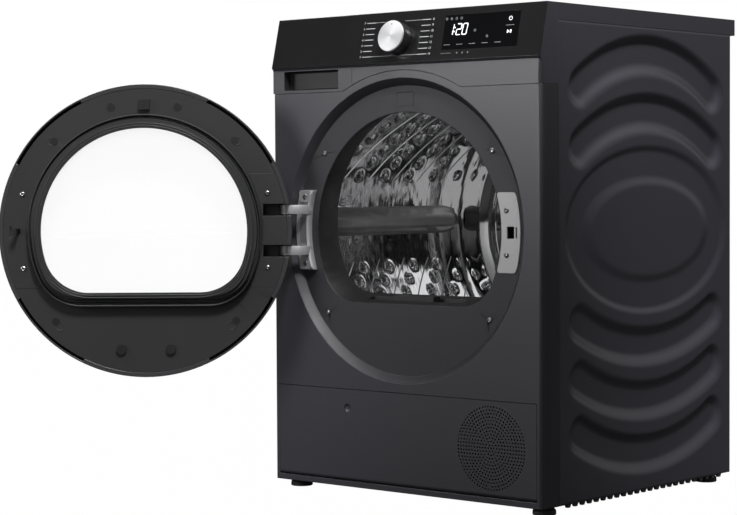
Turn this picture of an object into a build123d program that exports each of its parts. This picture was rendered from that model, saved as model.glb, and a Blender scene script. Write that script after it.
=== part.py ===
from build123d import *
import os
from math import acos, asin, atan2, cos, degrees, hypot, radians, sin

# Clothes dryer, front loading, 60 cm wide. Millimetres.
# Origin on the floor, midway between the four feet. +X right, +Y back, +Z up.
# A setback is measured from the flat front face: positive goes into the cabinet.
# A rise on the door or its recess is measured from the door's centre.

# Cabinet
body_width = 598.0
body_height = 845.0
body_depth = 583.0
ground_gap = 15.0
sheet = 1.2
seam = 0.5
corner_radius = 6.0
wrap_depth = 49.0
flange = 14.0
lid_height = 28.4
lid_overhang = 21.0
lid_wall = 3.0
lid_corner = 8.0

# Bows and oval pressed into the sides
bow_top_radius = 375.0
bow_low_radius = 450.0
bow_band = 54.0
bow_depth = 11.0
bow_margin = 34.75
bow_tops = (770.0, 670.0)
bow_bottoms = (266.0, 172.0, 79.0)
oval_margin = 20.75
oval_height = 282.0
oval_depth = 4.5
oval_z = 467.0
island_margin = 80.75
island_height = 170.0
press_slope = 18.0

# Front panel and its recess
door_z = 467.0
seam_z = 711.0
arch_radius = 277.0
recess_radius = 263.0
recess_slope = 12.0
recess_depth = 14.0
recess_lip = 3.0
opening_radius = 205.0
opening_flat = 126.0
opening_corner = 75.0
recess_screw_spots = [(-187, 136), (187, 136), (-181, -147), (181, -147)]
screw_head_radius = 5.0
screw_head_height = 2.0
screw_shank_radius = 2.0
screw_length = 7.0
plug_width = 37.0
plug_height = 24.0
plug_rise = 227.0
plug_corner = 4.0
plug_lip = 2.0

# Control panel
fascia_height = 89.3
fascia_proud = 5.3
fascia_setback = 16.3
fascia_thick = 3.2
carrier_wall = 2.5
split_x = -110.0
brow_height = 4.0
display_left = 91.0
display_right = 249.0
display_low = 18.0
display_high = 79.0
display_thick = 1.5
board_thick = 2.0
board_setback = 32.0
board_height = 58.0
knob_x = -6.0
knob_rise = 41.5
knob_radius = 28.5
knob_height = 24.0
knob_edge = 3.0
knob_shaft_radius = 5.0
knob_shaft_length = 22.0

# Water tank drawer
tank_front_depth = 22.0
tank_wall = 2.5
tank_side_gap = 17.0
tank_width = 155.0
tank_height = 62.0
tank_length = 430.0
tank_floor_z = 744.0
tank_corner = 10.0
pocket_left = -272.0
pocket_right = -142.0
pocket_low = 716.0
pocket_high = 750.0
pocket_depth = 19.0
housing_wall = 2.0
housing_gap = 0.4

# Service flap
flap_half_width = 288.0
flap_low = 26.0
flap_high = 187.0
flap_thick = 3.0
flap_round = 6.0
flap_pin_radius = 3.0
flap_pin_length = 5.0
finger_hole_x = -124.6
finger_hole_z = 154.0
finger_hole_radius = 8.0
grille_x = 194.0
grille_z = 108.0
grille_pitch = 13.0
grille_rings = 5
grille_hole_radius = 2.6

# Door
door_open_angle = 139.0
door_radius = 260.0
door_gap = 3.0
door_edge = 30.0
door_depth = 45.0
door_bevel = 20.0
door_wall = 3.0
door_lip = 8.0
face_radius = 205.0
ledge_width = 9.0
glass_thick = 4.0
inner_plate = 3.0
cover_thick = 3.0
cover_inner = 208.5
cover_half_height = 101.0
collar_gap = 6.0
collar_wall = 3.0
collar_rim = 10.0
collar_reach = 18.0
bezel_gap = 12.0
bezel_height = 6.0
window_radius = 182.0
window_flat = 108.0
window_corner = 80.0
seal_radius = 207.0
seal_flat = 135.0
seal_corner = 85.0
seal_base = 11.0
seal_lip = 4.0
seal_squeeze = 0.5
grip_start = 28.0
grip_end = 64.0
door_screw_x = 217.0
door_screw_rise = 66.0
door_screw_head = 4.5
buffer_width = 20.0
buffer_tall = 18.0
buffer_rise = 224.0
buffer_height = 7.0
stud_offset = 44.0
stud_drop = 210.0
stud_radius = 9.0
stud_height = 5.0
cap_spots = [(-59, 219), (59, 219), (-160, 160), (160, 160), (-160, -160), (160, -160)]
cap_radius = 7.0
cap_height = 0.6

# Hinge
hinge_x = -247.0
hinge_setback = -27.0
hinge_pin_radius = 3.5
hinge_pin_half = 51.0
arm_offset = 36.5
arm_height = 16.0
arm_thick = 9.0
arm_throat_x = -250.0
arm_throat_setback = 2.0
arm_end_angle = 20.0
knuckle_radius = 8.5
bracket_outer = 250.0
bracket_inner = 219.0
bracket_half = 71.0
bracket_thick = 8.0
slot_left = -262.0
slot_right = -209.0
slot_height = 21.0
slot_setback = -38.0
block_width = 16.0
block_half = 25.0
block_limit = 255.4
block_setback = -32.5
ear_inner = 47.5

# Latch
strike_inner = 208.5
strike_outer = 247.0
strike_half = 67.0
strike_thick = 2.5
strike_screw_x = 219.0
strike_screw_rise = 37.0
strike_slot_x = 239.0
latch_x = 227.0
latch_hole_width = 15.0
latch_hole_height = 20.0
latch_slot_width = 3.0
latch_slot_height = 18.0
hook_width = 5.0
hook_height = 10.0
hook_reach = 22.0
hook_barb = 2.5
hook_barb_length = 5.0
hook_pivot_setback = -15.0
hook_pivot_radius = 2.0
hook_root_radius = 4.0
hook_play = 2.5
hook_ear = 4.0
lock_left = 216.0
lock_right = 246.0
lock_half = 45.0
lock_depth = 30.0
lock_cavity = 20.0

# Drum
drum_radius = 285.0
drum_front = 75.0
drum_rear = 530.0
drum_lip = 20.0
drum_step = 22.0
drum_emboss = 10.0
shaft_radius = 12.5
shaft_flange_radius = 26.0
shaft_tail = 40.0
lifter_count = 3
lifter_height = 46.0
lifter_foot = 54.0
lifter_crest = 20.0
lifter_sink = 8.0
lifter_start = 95.0
lifter_end = 500.0
lifter_angle = 177.6
back_slots = 24
back_slot_length = 60.0
back_slot_width = 8.0
back_slot_ring = 190.0

# Front bulkhead, throat and lint filter
throat_wall = 3.0
throat_end = 68.0
throat_rise = 14.0
bulkhead_setback = 58.0
bulkhead_thick = 3.0
bulkhead_low = 150.0
filter_half_width = 105.0
filter_front = 33.0
filter_thick = 18.0
filter_depth = 110.0
filter_gap = 0.6
filter_wall = 2.0
filter_grip_height = 13.0
filter_grip_half = 45.0
filter_window_height = 60.0
roller_radius = 20.0
roller_width = 22.0
roller_angle = 55.0
roller_gap = 2.4
roller_axle_radius = 5.0

# Drive and heat pump in the base
belt_setback = 300.0
belt_width = 12.0
belt_thick = 1.5
motor_x = 150.0
motor_z = 95.0
motor_radius = 52.0
motor_front = 330.0
motor_rear = 455.0
motor_shaft_radius = 6.0
motor_leg_width = 70.0
motor_leg_thick = 18.0
pulley_radius = 9.0
pulley_width = 16.0
fan_radius = 62.0
fan_front = 476.0
fan_width = 40.0
fan_blades = 20
fan_blade_thick = 2.0
fan_blade_depth = 14.0
fan_plate = 3.0
fan_hub_radius = 18.0
fan_gap = 4.0
fan_wall = 3.0
fan_inlet_radius = 40.0
idler_radius = 18.0
idler_width = 16.0
idler_axle_radius = 4.0
idler_share = 0.6
idler_arm_thick = 12.0
idler_arm_root = 24.0
idler_arm_tip = 12.0
compressor_x = 165.0
compressor_z = 95.0
compressor_radius = 55.0
compressor_edge = 14.0
compressor_front = 75.0
compressor_rear = 255.0
cradle_width = 90.0
cradle_inset = 28.0
coil_left = -262.0
coil_right = -62.0
coil_high = 160.0
coil_front = 78.0
coil_depth = 110.0
coil_gap = 18.0
coil_fins = 24
coil_fin_gap = 3.0
coil_fin_depth = 8.0
coil_fin_margin = 6.0
pipe_radius = 4.0
pipe_bend = 14.0
pipe_run = 28.0
pipe_high = 110.0
pipe_low = 95.0

# Base pan and feet
pan_wall = 4.0
pan_rim = 38.0
foot_spacing_x = 546.0
foot_spacing_y = 500.0
foot_radius = 20.0
foot_pad = 12.0
foot_stem_radius = 5.0
foot_stem_top = 34.0
foot_boss_radius = 14.0
foot_boss_top = 37.0

# Rear
duct_radius = 236.0
duct_bulge = 17.0
duct_hole = 222.0
duct_tail_radius = 66.0
duct_edge = 5.0
bridge_width = 76.0
bridge_thick = 5.0
bridge_overlap = 8.0
hub_radius = 26.0
hub_length = 30.0
inlet_x = 230.0
inlet_z = 700.0
inlet_width = 44.0
inlet_height = 34.0
inlet_depth = 20.0
inlet_rim = 5.0
gland_radius = 9.0
gland_length = 10.0
spigot_x = -240.0
spigot_z = 770.0
spigot_radius = 9.0
spigot_length = 18.0
spigot_flange = 14.0
spigot_neck = 11.0
spigot_bore = 6.0

# Fits
running_gap = 0.05
close_gap = 0.3

# Worked out from the sizes above
front_y = -body_depth / 2
rear_y = body_depth / 2
half_width = body_width / 2
inner_half = half_width - sheet - close_gap
tank_left = tank_side_gap - half_width
lid_low = body_height - lid_height
fascia_low = body_height - fascia_height
slope_run = fascia_setback + fascia_proud
slope_tilt = atan2(slope_run, fascia_height)
recess_floor = recess_depth + sheet
throat_front = recess_floor + close_gap
pan_floor = ground_gap + pan_wall
door_front = -door_gap - door_depth
cover_back = -door_gap - cover_thick
plate_back = cover_back - inner_plate
inner_radius = door_radius - door_lip - close_gap
drum_outer = drum_radius + sheet
panel_setback = body_depth - 2 * sheet
hinge_y = front_y + hinge_setback
pin_spot = (hinge_x, hinge_y)
drum_axis = Axis((0, 0, door_z), (0, 1, 0))
door_swing = Location((hinge_x, hinge_y, 0), (0, 0, -door_open_angle)) * Location((-hinge_x, -hinge_y, 0))

os.makedirs("parts", exist_ok=True)


# Upright plane parallel to the front, X right and Z up, facing out of the front
def facing(setback):
    return Plane.XZ.offset(-front_y - setback)


def side_plane(x):
    return Plane.YZ.offset(x)


# The upright and level planes of the closed door, carried round the hinge to where it stands open
def door_face(setback):
    return Plane(door_swing * facing(setback).location)


def door_level(z):
    return Plane(door_swing * Plane.XY.offset(z).location)


# Plane of the sloping control panel, its origin on the lower edge, Y up the slope
def slope_plane(lift):
    outward = (0, -cos(slope_tilt), sin(slope_tilt))
    lower_edge = (0, front_y - fascia_proud, fascia_low)
    return Plane(origin=lower_edge, x_dir=(1, 0, 0), z_dir=outward).offset(lift)


# Round outline with a flat along its foot and rounded corners
def d_shape(radius, flat, corner):
    with BuildSketch() as outline:
        Circle(radius)
        with Locations((0, -flat - radius)):
            Rectangle(4 * radius, 2 * radius, mode=Mode.SUBTRACT)
        fillet(outline.vertices(), corner)
    return outline.sketch


def opening_shape(grow):
    return d_shape(opening_radius + grow, opening_flat + grow, opening_corner + grow)


def seal_shape(grow):
    return d_shape(seal_radius + grow, seal_flat + grow, seal_corner + grow)


# Part of a ring on one side of the middle, between two heights
def ring_segment(outer, inner, side, half_height):
    with BuildSketch() as segment:
        Circle(outer)
        Circle(inner, mode=Mode.SUBTRACT)
        with Locations((side * outer, 0)):
            Rectangle(outer, 2 * half_height, mode=Mode.INTERSECT)
    return segment.sketch


# Part of a ring between two angles
def ring_sector(outer, inner, start, end):
    with BuildSketch() as sector:
        with BuildLine():
            outer_arc = CenterArc((0, 0), outer, start, end - start)
            inner_arc = CenterArc((0, 0), inner, start, end - start)
            Line(outer_arc @ 0, inner_arc @ 0)
            Line(outer_arc @ 1, inner_arc @ 1)
        make_face()
    return sector.sketch


# Curved slot along one side, arching up or down about its middle
def bow_shape(apex_z, sense, band):
    radius = bow_top_radius if sense > 0 else bow_low_radius
    half_angle = degrees(asin(bow_half_span / radius))
    with BuildSketch() as bow:
        with BuildLine() as middle:
            spot = (side_middle, apex_z - sense * radius)
            CenterArc(spot, radius, 90 * sense - half_angle, 2 * half_angle)
        SlotArc(middle.edge(), band)
    return bow.sketch


# Oval about the middle of one side
def oval_shape(margin, height, grow):
    with BuildSketch() as oval:
        with Locations((side_middle, oval_z)):
            Ellipse(side_length / 2 - margin + grow, height / 2 + grow)
    return oval.sketch


# Sloping-sided form between two outlines, from one plane inwards
def press_form(sign, start, depth, outline, floor):
    near = side_plane(sign * (half_width - start)) * outline
    far = side_plane(sign * (half_width - start - depth)) * floor
    return loft([near.face(), far.face()], mode=Mode.PRIVATE)


# Throat's way to the drum, which climbs from the recess to the drum
def throat_form(grow):
    near = facing(throat_front) * Pos(0, door_z) * opening_shape(grow)
    far = facing(throat_end) * Pos(0, door_z + throat_rise) * opening_shape(grow)
    return loft([near.face(), far.face()], ruled=True, mode=Mode.PRIVATE)


# Loop pulled tight round two circles
def hull_shape(first_spot, first_radius, second_spot, second_radius):
    with BuildSketch() as loop:
        with Locations(first_spot):
            Circle(first_radius)
        with Locations(second_spot):
            Circle(second_radius)
        make_hull()
    return loop.sketch


# Plan of the front sheet wrapped round both corners, pulled in by a wall
def wrap_shape(inset):
    with BuildSketch() as outline:
        with Locations((0, front_y + inset + wrap_depth / 2)):
            Rectangle(body_width - 2 * inset, wrap_depth)
        fillet(outline.vertices().group_by(Axis.Y)[0], corner_radius - inset)
    return outline.sketch


# Depth of the painted slope behind the gloss panel at one height
def slope_y(z, inset):
    return front_y - fascia_proud + fascia_thick + inset + slope_run * (z - fascia_low) / fascia_height


# Side view of the upper front behind the gloss panel, pulled in by a wall
def brow_shape(back_setback, low_z, inset):
    with BuildSketch() as outline:
        with BuildLine():
            Polyline(
                (front_y + inset, low_z),
                (front_y + inset, fascia_low - brow_height),
                (slope_y(fascia_low, inset), fascia_low),
                (slope_y(body_height - inset, inset), body_height - inset),
                (front_y + back_setback, body_height - inset),
                (front_y + back_setback, low_z),
                close=True,
            )
        make_face()
    return outline.sketch


# Side view of the space inside the drawer front, above its finger pocket
def hollow_shape(back_setback, low_z, inset):
    with BuildSketch() as outline:
        with BuildLine():
            Polyline(
                (slope_y(low_z, inset), low_z),
                (slope_y(body_height - inset, inset), body_height - inset),
                (front_y + back_setback, body_height - inset),
                (front_y + back_setback, low_z),
                close=True,
            )
        make_face()
    return outline.sketch


# Side view of the gloss panel itself
def fascia_shape():
    with BuildSketch() as outline:
        with BuildLine():
            Polyline(
                (front_y - fascia_proud, fascia_low),
                (front_y + fascia_setback, body_height),
                (front_y + fascia_setback + fascia_thick, body_height),
                (front_y - fascia_proud + fascia_thick, fascia_low),
                close=True,
            )
        make_face()
    return outline.sketch


def save(piece, name):
    piece.part.label = name
    export_step(piece.part, f"parts/{name}.step")


# Base pan with hinge posts for the flap and bosses for the feet
pan_front = front_y + sheet + close_gap
pan_back = rear_y - 2 * sheet - close_gap
pan_middle = (pan_front + pan_back) / 2
rim_front = pan_front + wrap_depth
rim_middle = (rim_front + pan_back) / 2
flap_axis_y = front_y + flap_round
flap_axis_z = flap_low + flap_round
post_inner = flap_half_width + seam
post_x = (post_inner + inner_half) / 2
with BuildPart() as base_pan:
    with BuildSketch(Plane.XY.offset(ground_gap)):
        with Locations((0, pan_middle)):
            Rectangle(2 * inner_half, pan_back - pan_front)
    extrude(amount=pan_wall)
    with BuildSketch(Plane.XY.offset(pan_floor)):
        with Locations((0, rim_middle)):
            Rectangle(2 * inner_half, pan_back - rim_front)
            Rectangle(2 * (inner_half - pan_wall), pan_back - rim_front - 2 * pan_wall, mode=Mode.SUBTRACT)
    extrude(amount=pan_rim - pan_floor)
    with BuildSketch(Plane.XY.offset(pan_floor)):
        with Locations((-post_x, pan_front + flap_round), (post_x, pan_front + flap_round)):
            Rectangle(inner_half - post_inner, 2 * flap_round)
    extrude(amount=flap_axis_z + flap_round - pan_floor)
    with BuildSketch(Plane.XY.offset(pan_floor)):
        with GridLocations(foot_spacing_x, foot_spacing_y, 2, 2):
            Circle(foot_boss_radius)
    extrude(amount=foot_boss_top - pan_floor)
    front_corners = base_pan.edges().filter_by(Axis.Z).group_by(Axis.Y)[0].sort_by(Axis.X)
    fillet([front_corners[0], front_corners[-1]], corner_radius)
    with BuildSketch(side_plane(-half_width)):
        with Locations((flap_axis_y, flap_axis_z)):
            Circle(flap_pin_radius + running_gap)
    extrude(amount=body_width, mode=Mode.SUBTRACT)
    with BuildSketch(Plane.XY.offset(ground_gap)):
        with GridLocations(foot_spacing_x, foot_spacing_y, 2, 2):
            Circle(foot_stem_radius + running_gap)
    extrude(amount=foot_stem_top + seam - ground_gap, mode=Mode.SUBTRACT)
save(base_pan, "base_pan")

# Four levelling feet on stems that turn in the pan
for foot_name, sign_x, sign_y in [
    ("foot_front_left", -1, -1),
    ("foot_front_right", 1, -1),
    ("foot_rear_left", -1, 1),
    ("foot_rear_right", 1, 1),
]:
    foot_spot = (sign_x * foot_spacing_x / 2, sign_y * foot_spacing_y / 2)
    with BuildPart() as foot:
        with BuildSketch(Plane.XY):
            with Locations(foot_spot):
                Circle(foot_radius)
        extrude(amount=foot_pad)
        with BuildSketch(Plane.XY.offset(foot_pad)):
            with Locations(foot_spot):
                Circle(foot_stem_radius)
        extrude(amount=foot_stem_top - foot_pad)
    save(foot, foot_name)

# Side panels: sheets with flanges turned in at front, top and rear, stiffened by bows and an oval
side_front = front_y + wrap_depth + seam
side_middle = (side_front + rear_y) / 2
side_length = rear_y - side_front
bow_half_span = (side_length - bow_band) / 2 - bow_margin
bows = [(z, 1) for z in bow_tops] + [(z, -1) for z in bow_bottoms]
wide, narrow = bow_band + press_slope, bow_band - press_slope
side_top = lid_low - close_gap
flange_low = pan_rim + close_gap
for side_name, sign in [("left_side_panel", -1), ("right_side_panel", 1)]:
    flange_x = sign * (half_width - flange / 2)
    with BuildPart() as side_panel:
        with BuildSketch(Plane.XY.offset(ground_gap)):
            with Locations((sign * (half_width - sheet / 2), side_middle)):
                Rectangle(sheet, rear_y - side_front)
        extrude(amount=side_top - ground_gap)
        with BuildSketch(Plane.XY.offset(flange_low)):
            with Locations((flange_x, side_front + sheet / 2), (flange_x, rear_y - sheet / 2)):
                Rectangle(flange, sheet)
        extrude(amount=side_top - flange_low)
        with BuildSketch(Plane.XY.offset(side_top - sheet)):
            with Locations((flange_x, side_middle)):
                Rectangle(flange, rear_y - side_front)
        extrude(amount=sheet)
        for apex_z, sense in bows:
            outer, inner = bow_shape(apex_z, sense, wide), bow_shape(apex_z, sense, narrow)
            back_outer, back_inner = (bow_shape(apex_z, sense, w + 2 * sheet) for w in (wide, narrow))
            add(press_form(sign, sheet, bow_depth, back_outer, back_inner), mode=Mode.ADD)
            add(press_form(sign, 0, bow_depth, outer, inner), mode=Mode.SUBTRACT)
        rim, floor = (oval_shape(oval_margin, oval_height, g) for g in (sheet, sheet - press_slope / 2))
        add(press_form(sign, sheet, oval_depth, rim, floor), mode=Mode.ADD)
        rim, floor = (oval_shape(oval_margin, oval_height, g) for g in (0, -press_slope / 2))
        add(press_form(sign, 0, oval_depth, rim, floor), mode=Mode.SUBTRACT)
        rim, floor = (oval_shape(island_margin, island_height, g) for g in (0, press_slope / 2))
        add(press_form(sign, 0, oval_depth, rim, floor), mode=Mode.ADD)
        rim, floor = (oval_shape(island_margin, island_height, g) for g in (-sheet, press_slope / 2 - sheet))
        add(press_form(sign, sheet, oval_depth, rim, floor), mode=Mode.SUBTRACT)
    save(side_panel, side_name)

# Lid: a tray turned over, hanging out behind to shelter the rear duct
lid_back = rear_y + lid_overhang
lid_middle = (side_front + lid_back) / 2
with BuildPart() as lid:
    with BuildSketch(Plane.XY.offset(lid_low)):
        with Locations((0, lid_middle)):
            Rectangle(body_width, lid_back - side_front)
    extrude(amount=lid_height)
    fillet(lid.edges().filter_by(Axis.Z).group_by(Axis.Y)[-1], lid_corner)
    with BuildSketch(Plane.XY.offset(lid_low)):
        with Locations((0, lid_middle)):
            Rectangle(body_width - 2 * lid_corner, lid_back - side_front - 2 * lid_corner)
    extrude(amount=lid_height - lid_wall, mode=Mode.SUBTRACT)
save(lid, "lid")

# Lower front: one sheet wrapped round both corners, the door recess pressed into it
arch_top = door_z + arch_radius - seam / 2
with BuildPart() as front_panel:
    with BuildSketch(Plane.XY.offset(ground_gap)):
        add(wrap_shape(0))
        add(wrap_shape(sheet), mode=Mode.SUBTRACT)
    extrude(amount=arch_top - ground_gap)
    with BuildSketch(facing(0)):
        with Locations((0, seam_z - seam / 2 + body_height / 2)):
            Rectangle(2 * body_width, body_height)
        with Locations((0, door_z)):
            Circle(arch_radius - seam / 2, mode=Mode.SUBTRACT)
    extrude(amount=-body_depth, mode=Mode.SUBTRACT)
    with BuildSketch(facing(0)):
        with Locations((0, door_z)):
            Circle(recess_radius)
        with Locations((0, (flap_low + flap_high) / 2)):
            Rectangle(2 * (flap_half_width + seam), flap_high - flap_low + 2 * seam)
    extrude(amount=-2 * sheet, mode=Mode.SUBTRACT)
    with BuildSketch(side_plane(0)):
        with BuildLine():
            Polyline(
                (front_y, door_z + recess_radius + recess_lip),
                (front_y, door_z + recess_radius),
                (front_y + recess_depth, door_z + recess_radius - recess_slope),
                (front_y + recess_depth, door_z),
                (front_y + recess_floor, door_z),
                (front_y + recess_floor, door_z + recess_radius - recess_slope + sheet),
                (front_y + sheet, door_z + recess_radius + sheet),
                (front_y + sheet, door_z + recess_radius + recess_lip),
                close=True,
            )
        make_face()
    revolve(axis=drum_axis)
    with BuildSketch(facing(0)):
        with Locations((0, door_z)):
            add(opening_shape(0))
            with Locations(*recess_screw_spots):
                Circle(screw_shank_radius + running_gap)
            with Locations((0, plug_rise)):
                RectangleRounded(plug_width, plug_height, plug_corner)
            with Locations((latch_x, 0)):
                Rectangle(latch_hole_width, latch_hole_height)
    extrude(amount=-2 * recess_floor, mode=Mode.SUBTRACT)
save(front_panel, "front_panel")

# Blanking plug at the top of the recess
with BuildPart() as recess_plug:
    with BuildSketch(facing(recess_depth)):
        with Locations((0, door_z + plug_rise)):
            RectangleRounded(plug_width - 2 * close_gap, plug_height - 2 * close_gap, plug_corner - close_gap)
    extrude(amount=-sheet)
    with BuildSketch(facing(recess_floor)):
        with Locations((0, door_z + plug_rise)):
            RectangleRounded(plug_width + 2 * plug_lip, plug_height + 2 * plug_lip, plug_corner)
    extrude(amount=-2 * sheet)
save(recess_plug, "recess_plug")

# Screws round the recess and on the strike plate
strike_face = recess_depth - strike_thick
with BuildPart() as front_screws:
    with BuildSketch(facing(recess_depth)):
        with Locations((0, door_z)):
            with Locations(*recess_screw_spots):
                Circle(screw_head_radius)
    extrude(amount=screw_head_height)
    with BuildSketch(facing(recess_depth)):
        with Locations((0, door_z)):
            with Locations(*recess_screw_spots):
                Circle(screw_shank_radius)
    extrude(amount=-screw_length)
    with BuildSketch(facing(strike_face)):
        with Locations((0, door_z)):
            with Locations((strike_screw_x, strike_screw_rise), (strike_screw_x, -strike_screw_rise)):
                Circle(door_screw_head)
    extrude(amount=screw_head_height)
save(front_screws, "front_screws")

# Upper front: the painted carrier behind the control panel, with a cheek at each end
carrier_low = seam_z + seam / 2
divider_x = split_x + seam / 2
cheek_front = tank_front_depth + seam
cheek_middle = front_y + (cheek_front + wrap_depth) / 2
with BuildPart() as upper_front_panel:
    with BuildSketch(side_plane(divider_x)):
        add(brow_shape(wrap_depth, carrier_low, 0))
    extrude(amount=half_width - divider_x)
    with BuildSketch(side_plane(divider_x + carrier_wall)):
        add(brow_shape(wrap_depth + carrier_wall, carrier_low - carrier_wall, carrier_wall))
    extrude(amount=half_width - divider_x - 2 * carrier_wall, mode=Mode.SUBTRACT)
    with BuildSketch(Plane.XY.offset(body_height - carrier_wall)):
        with Locations(((divider_x - half_width) / 2, cheek_middle)):
            Rectangle(half_width + divider_x, wrap_depth - cheek_front)
    extrude(amount=carrier_wall)
    with BuildSketch(Plane.XY.offset(carrier_low)):
        with Locations((carrier_wall / 2 - half_width, cheek_middle)):
            Rectangle(carrier_wall, wrap_depth - cheek_front)
    extrude(amount=body_height - carrier_low)
    with BuildSketch(facing(board_setback)):
        with Locations(((divider_x + half_width) / 2, body_height - carrier_wall - board_height / 2)):
            Rectangle(half_width - divider_x - carrier_wall, board_height + carrier_wall)
    extrude(amount=-carrier_wall)
    with BuildSketch(facing(-2 * fascia_proud)):
        with Locations((0, door_z)):
            Circle(arch_radius + seam / 2)
    extrude(amount=-2 * wrap_depth, mode=Mode.SUBTRACT)
    with BuildSketch(slope_plane(0)):
        with Locations((knob_x, knob_rise)):
            Circle(knob_shaft_radius + running_gap)
    extrude(amount=-knob_shaft_length, mode=Mode.SUBTRACT)
    right_edges = upper_front_panel.edges().filter_by(Axis.Z).group_by(Axis.X)[-1]
    fillet(right_edges.sort_by(Axis.Y)[0], corner_radius)
save(upper_front_panel, "upper_front_panel")

# Gloss control panel with the window's pocket and the knob's hole
display_x = (display_left + display_right) / 2
display_rise = (display_low + display_high) / 2
display_width = display_right - display_left
display_height = display_high - display_low
with BuildPart() as control_fascia:
    with BuildSketch(side_plane(divider_x)):
        add(fascia_shape())
    extrude(amount=half_width - divider_x)
    with BuildSketch(slope_plane(0)):
        with Locations((display_x, display_rise)):
            Rectangle(display_width, display_height)
    extrude(amount=-display_thick, mode=Mode.SUBTRACT)
    with BuildSketch(slope_plane(0)):
        with Locations((knob_x, knob_rise)):
            Circle(knob_shaft_radius + running_gap)
    extrude(amount=-knob_shaft_length, mode=Mode.SUBTRACT)
save(control_fascia, "control_fascia")

with BuildPart() as display_window:
    with BuildSketch(slope_plane(-display_thick)):
        with Locations((display_x, display_rise)):
            Rectangle(display_width - 2 * running_gap, display_height - 2 * running_gap)
    extrude(amount=display_thick)
save(display_window, "display_window")

# Circuit board flat on the web behind the panel
with BuildPart() as control_board:
    with BuildSketch(facing(board_setback)):
        with Locations((display_x, body_height - board_height / 2 - 2 * carrier_wall)):
            Rectangle(display_width, board_height - 2 * carrier_wall)
    extrude(amount=board_thick)
save(control_board, "control_board")

# Programme knob on its shaft
with BuildPart() as program_knob:
    with BuildSketch(slope_plane(close_gap)):
        with Locations((knob_x, knob_rise)):
            Circle(knob_radius)
    extrude(amount=knob_height)
    fillet(program_knob.edges().filter_by(GeomType.CIRCLE).sort_by(Axis.Y)[0], knob_edge)
    with BuildSketch(slope_plane(close_gap)):
        with Locations((knob_x, knob_rise)):
            Circle(knob_shaft_radius)
    extrude(amount=-knob_shaft_length)
save(program_knob, "program_knob")

# Drawer front: painted block with the finger pocket, hollow behind the gloss half
drawer_right = split_x - seam / 2
drawer_width = drawer_right + half_width
with BuildPart() as tank_front:
    with BuildSketch(side_plane(-half_width)):
        add(brow_shape(tank_front_depth, carrier_low, 0))
    extrude(amount=drawer_width)
    with BuildSketch(side_plane(carrier_wall - half_width)):
        add(hollow_shape(tank_front_depth + carrier_wall, fascia_low + carrier_wall, carrier_wall))
    extrude(amount=drawer_width - 2 * carrier_wall, mode=Mode.SUBTRACT)
    with BuildSketch(facing(-fascia_proud)):
        with Locations(((pocket_left + pocket_right) / 2, (pocket_low + pocket_high) / 2)):
            RectangleRounded(pocket_right - pocket_left, pocket_high - pocket_low, carrier_wall)
    extrude(amount=-pocket_depth - fascia_proud, mode=Mode.SUBTRACT)
    with BuildSketch(facing(-2 * fascia_proud)):
        with Locations((0, door_z)):
            Circle(arch_radius + seam / 2)
    extrude(amount=-2 * wrap_depth, mode=Mode.SUBTRACT)
save(tank_front, "tank_front")

# Drawer front: gloss half in line with the control panel
with BuildPart() as tank_fascia:
    with BuildSketch(side_plane(-half_width)):
        add(fascia_shape())
    extrude(amount=drawer_width)
save(tank_fascia, "tank_fascia")

# Open-topped water tank behind the drawer front
tank_x = tank_left + tank_width / 2
tank_middle = front_y + tank_front_depth + tank_length / 2
with BuildPart() as water_tank:
    with BuildSketch(Plane.XY.offset(tank_floor_z)):
        with Locations((tank_x, tank_middle)):
            Rectangle(tank_width, tank_length)
    extrude(amount=tank_height)
    with BuildSketch(Plane.XY.offset(tank_floor_z + tank_wall)):
        with Locations((tank_x, tank_middle)):
            RectangleRounded(tank_width - 2 * tank_wall, tank_length - 2 * tank_wall, tank_corner)
    extrude(amount=tank_height, mode=Mode.SUBTRACT)
save(water_tank, "water_tank")

# Sleeve that the tank runs in, from the carrier back to the rear panel
sleeve_front = cheek_front + carrier_wall
sleeve_back = panel_setback - close_gap
sleeve_grow = housing_gap + housing_wall
sleeve_low = tank_floor_z - sleeve_grow
with BuildPart() as tank_housing:
    with BuildSketch(facing(sleeve_front)):
        with Locations((tank_x, tank_floor_z + tank_height / 2)):
            Rectangle(tank_width + 2 * sleeve_grow, tank_height + 2 * sleeve_grow)
            Rectangle(tank_width + 2 * housing_gap, tank_height + 2 * housing_gap, mode=Mode.SUBTRACT)
    extrude(amount=sleeve_front - sleeve_back)
save(tank_housing, "tank_housing")

# Service flap along the foot of the front, rounded about its own hinge line
with BuildPart() as service_flap:
    with BuildSketch(facing(0)):
        with Locations((0, (flap_axis_z + flap_high) / 2)):
            Rectangle(2 * flap_half_width, flap_high - flap_axis_z)
    extrude(amount=-flap_thick)
    with BuildSketch(side_plane(-flap_half_width)):
        with Locations((flap_axis_y, flap_axis_z)):
            Circle(flap_round)
    extrude(amount=2 * flap_half_width)
    with BuildSketch(side_plane(-flap_half_width - flap_pin_length)):
        with Locations((flap_axis_y, flap_axis_z)):
            Circle(flap_pin_radius)
    extrude(amount=2 * (flap_half_width + flap_pin_length))
    with BuildSketch(facing(0)):
        with Locations((finger_hole_x, finger_hole_z)):
            Circle(finger_hole_radius)
        with Locations((grille_x, grille_z)):
            Circle(grille_hole_radius)
            for ring in range(1, grille_rings + 1):
                with PolarLocations(ring * grille_pitch, 6 * ring):
                    Circle(grille_hole_radius)
    extrude(amount=-2 * flap_thick, mode=Mode.SUBTRACT)
save(service_flap, "service_flap")

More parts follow.
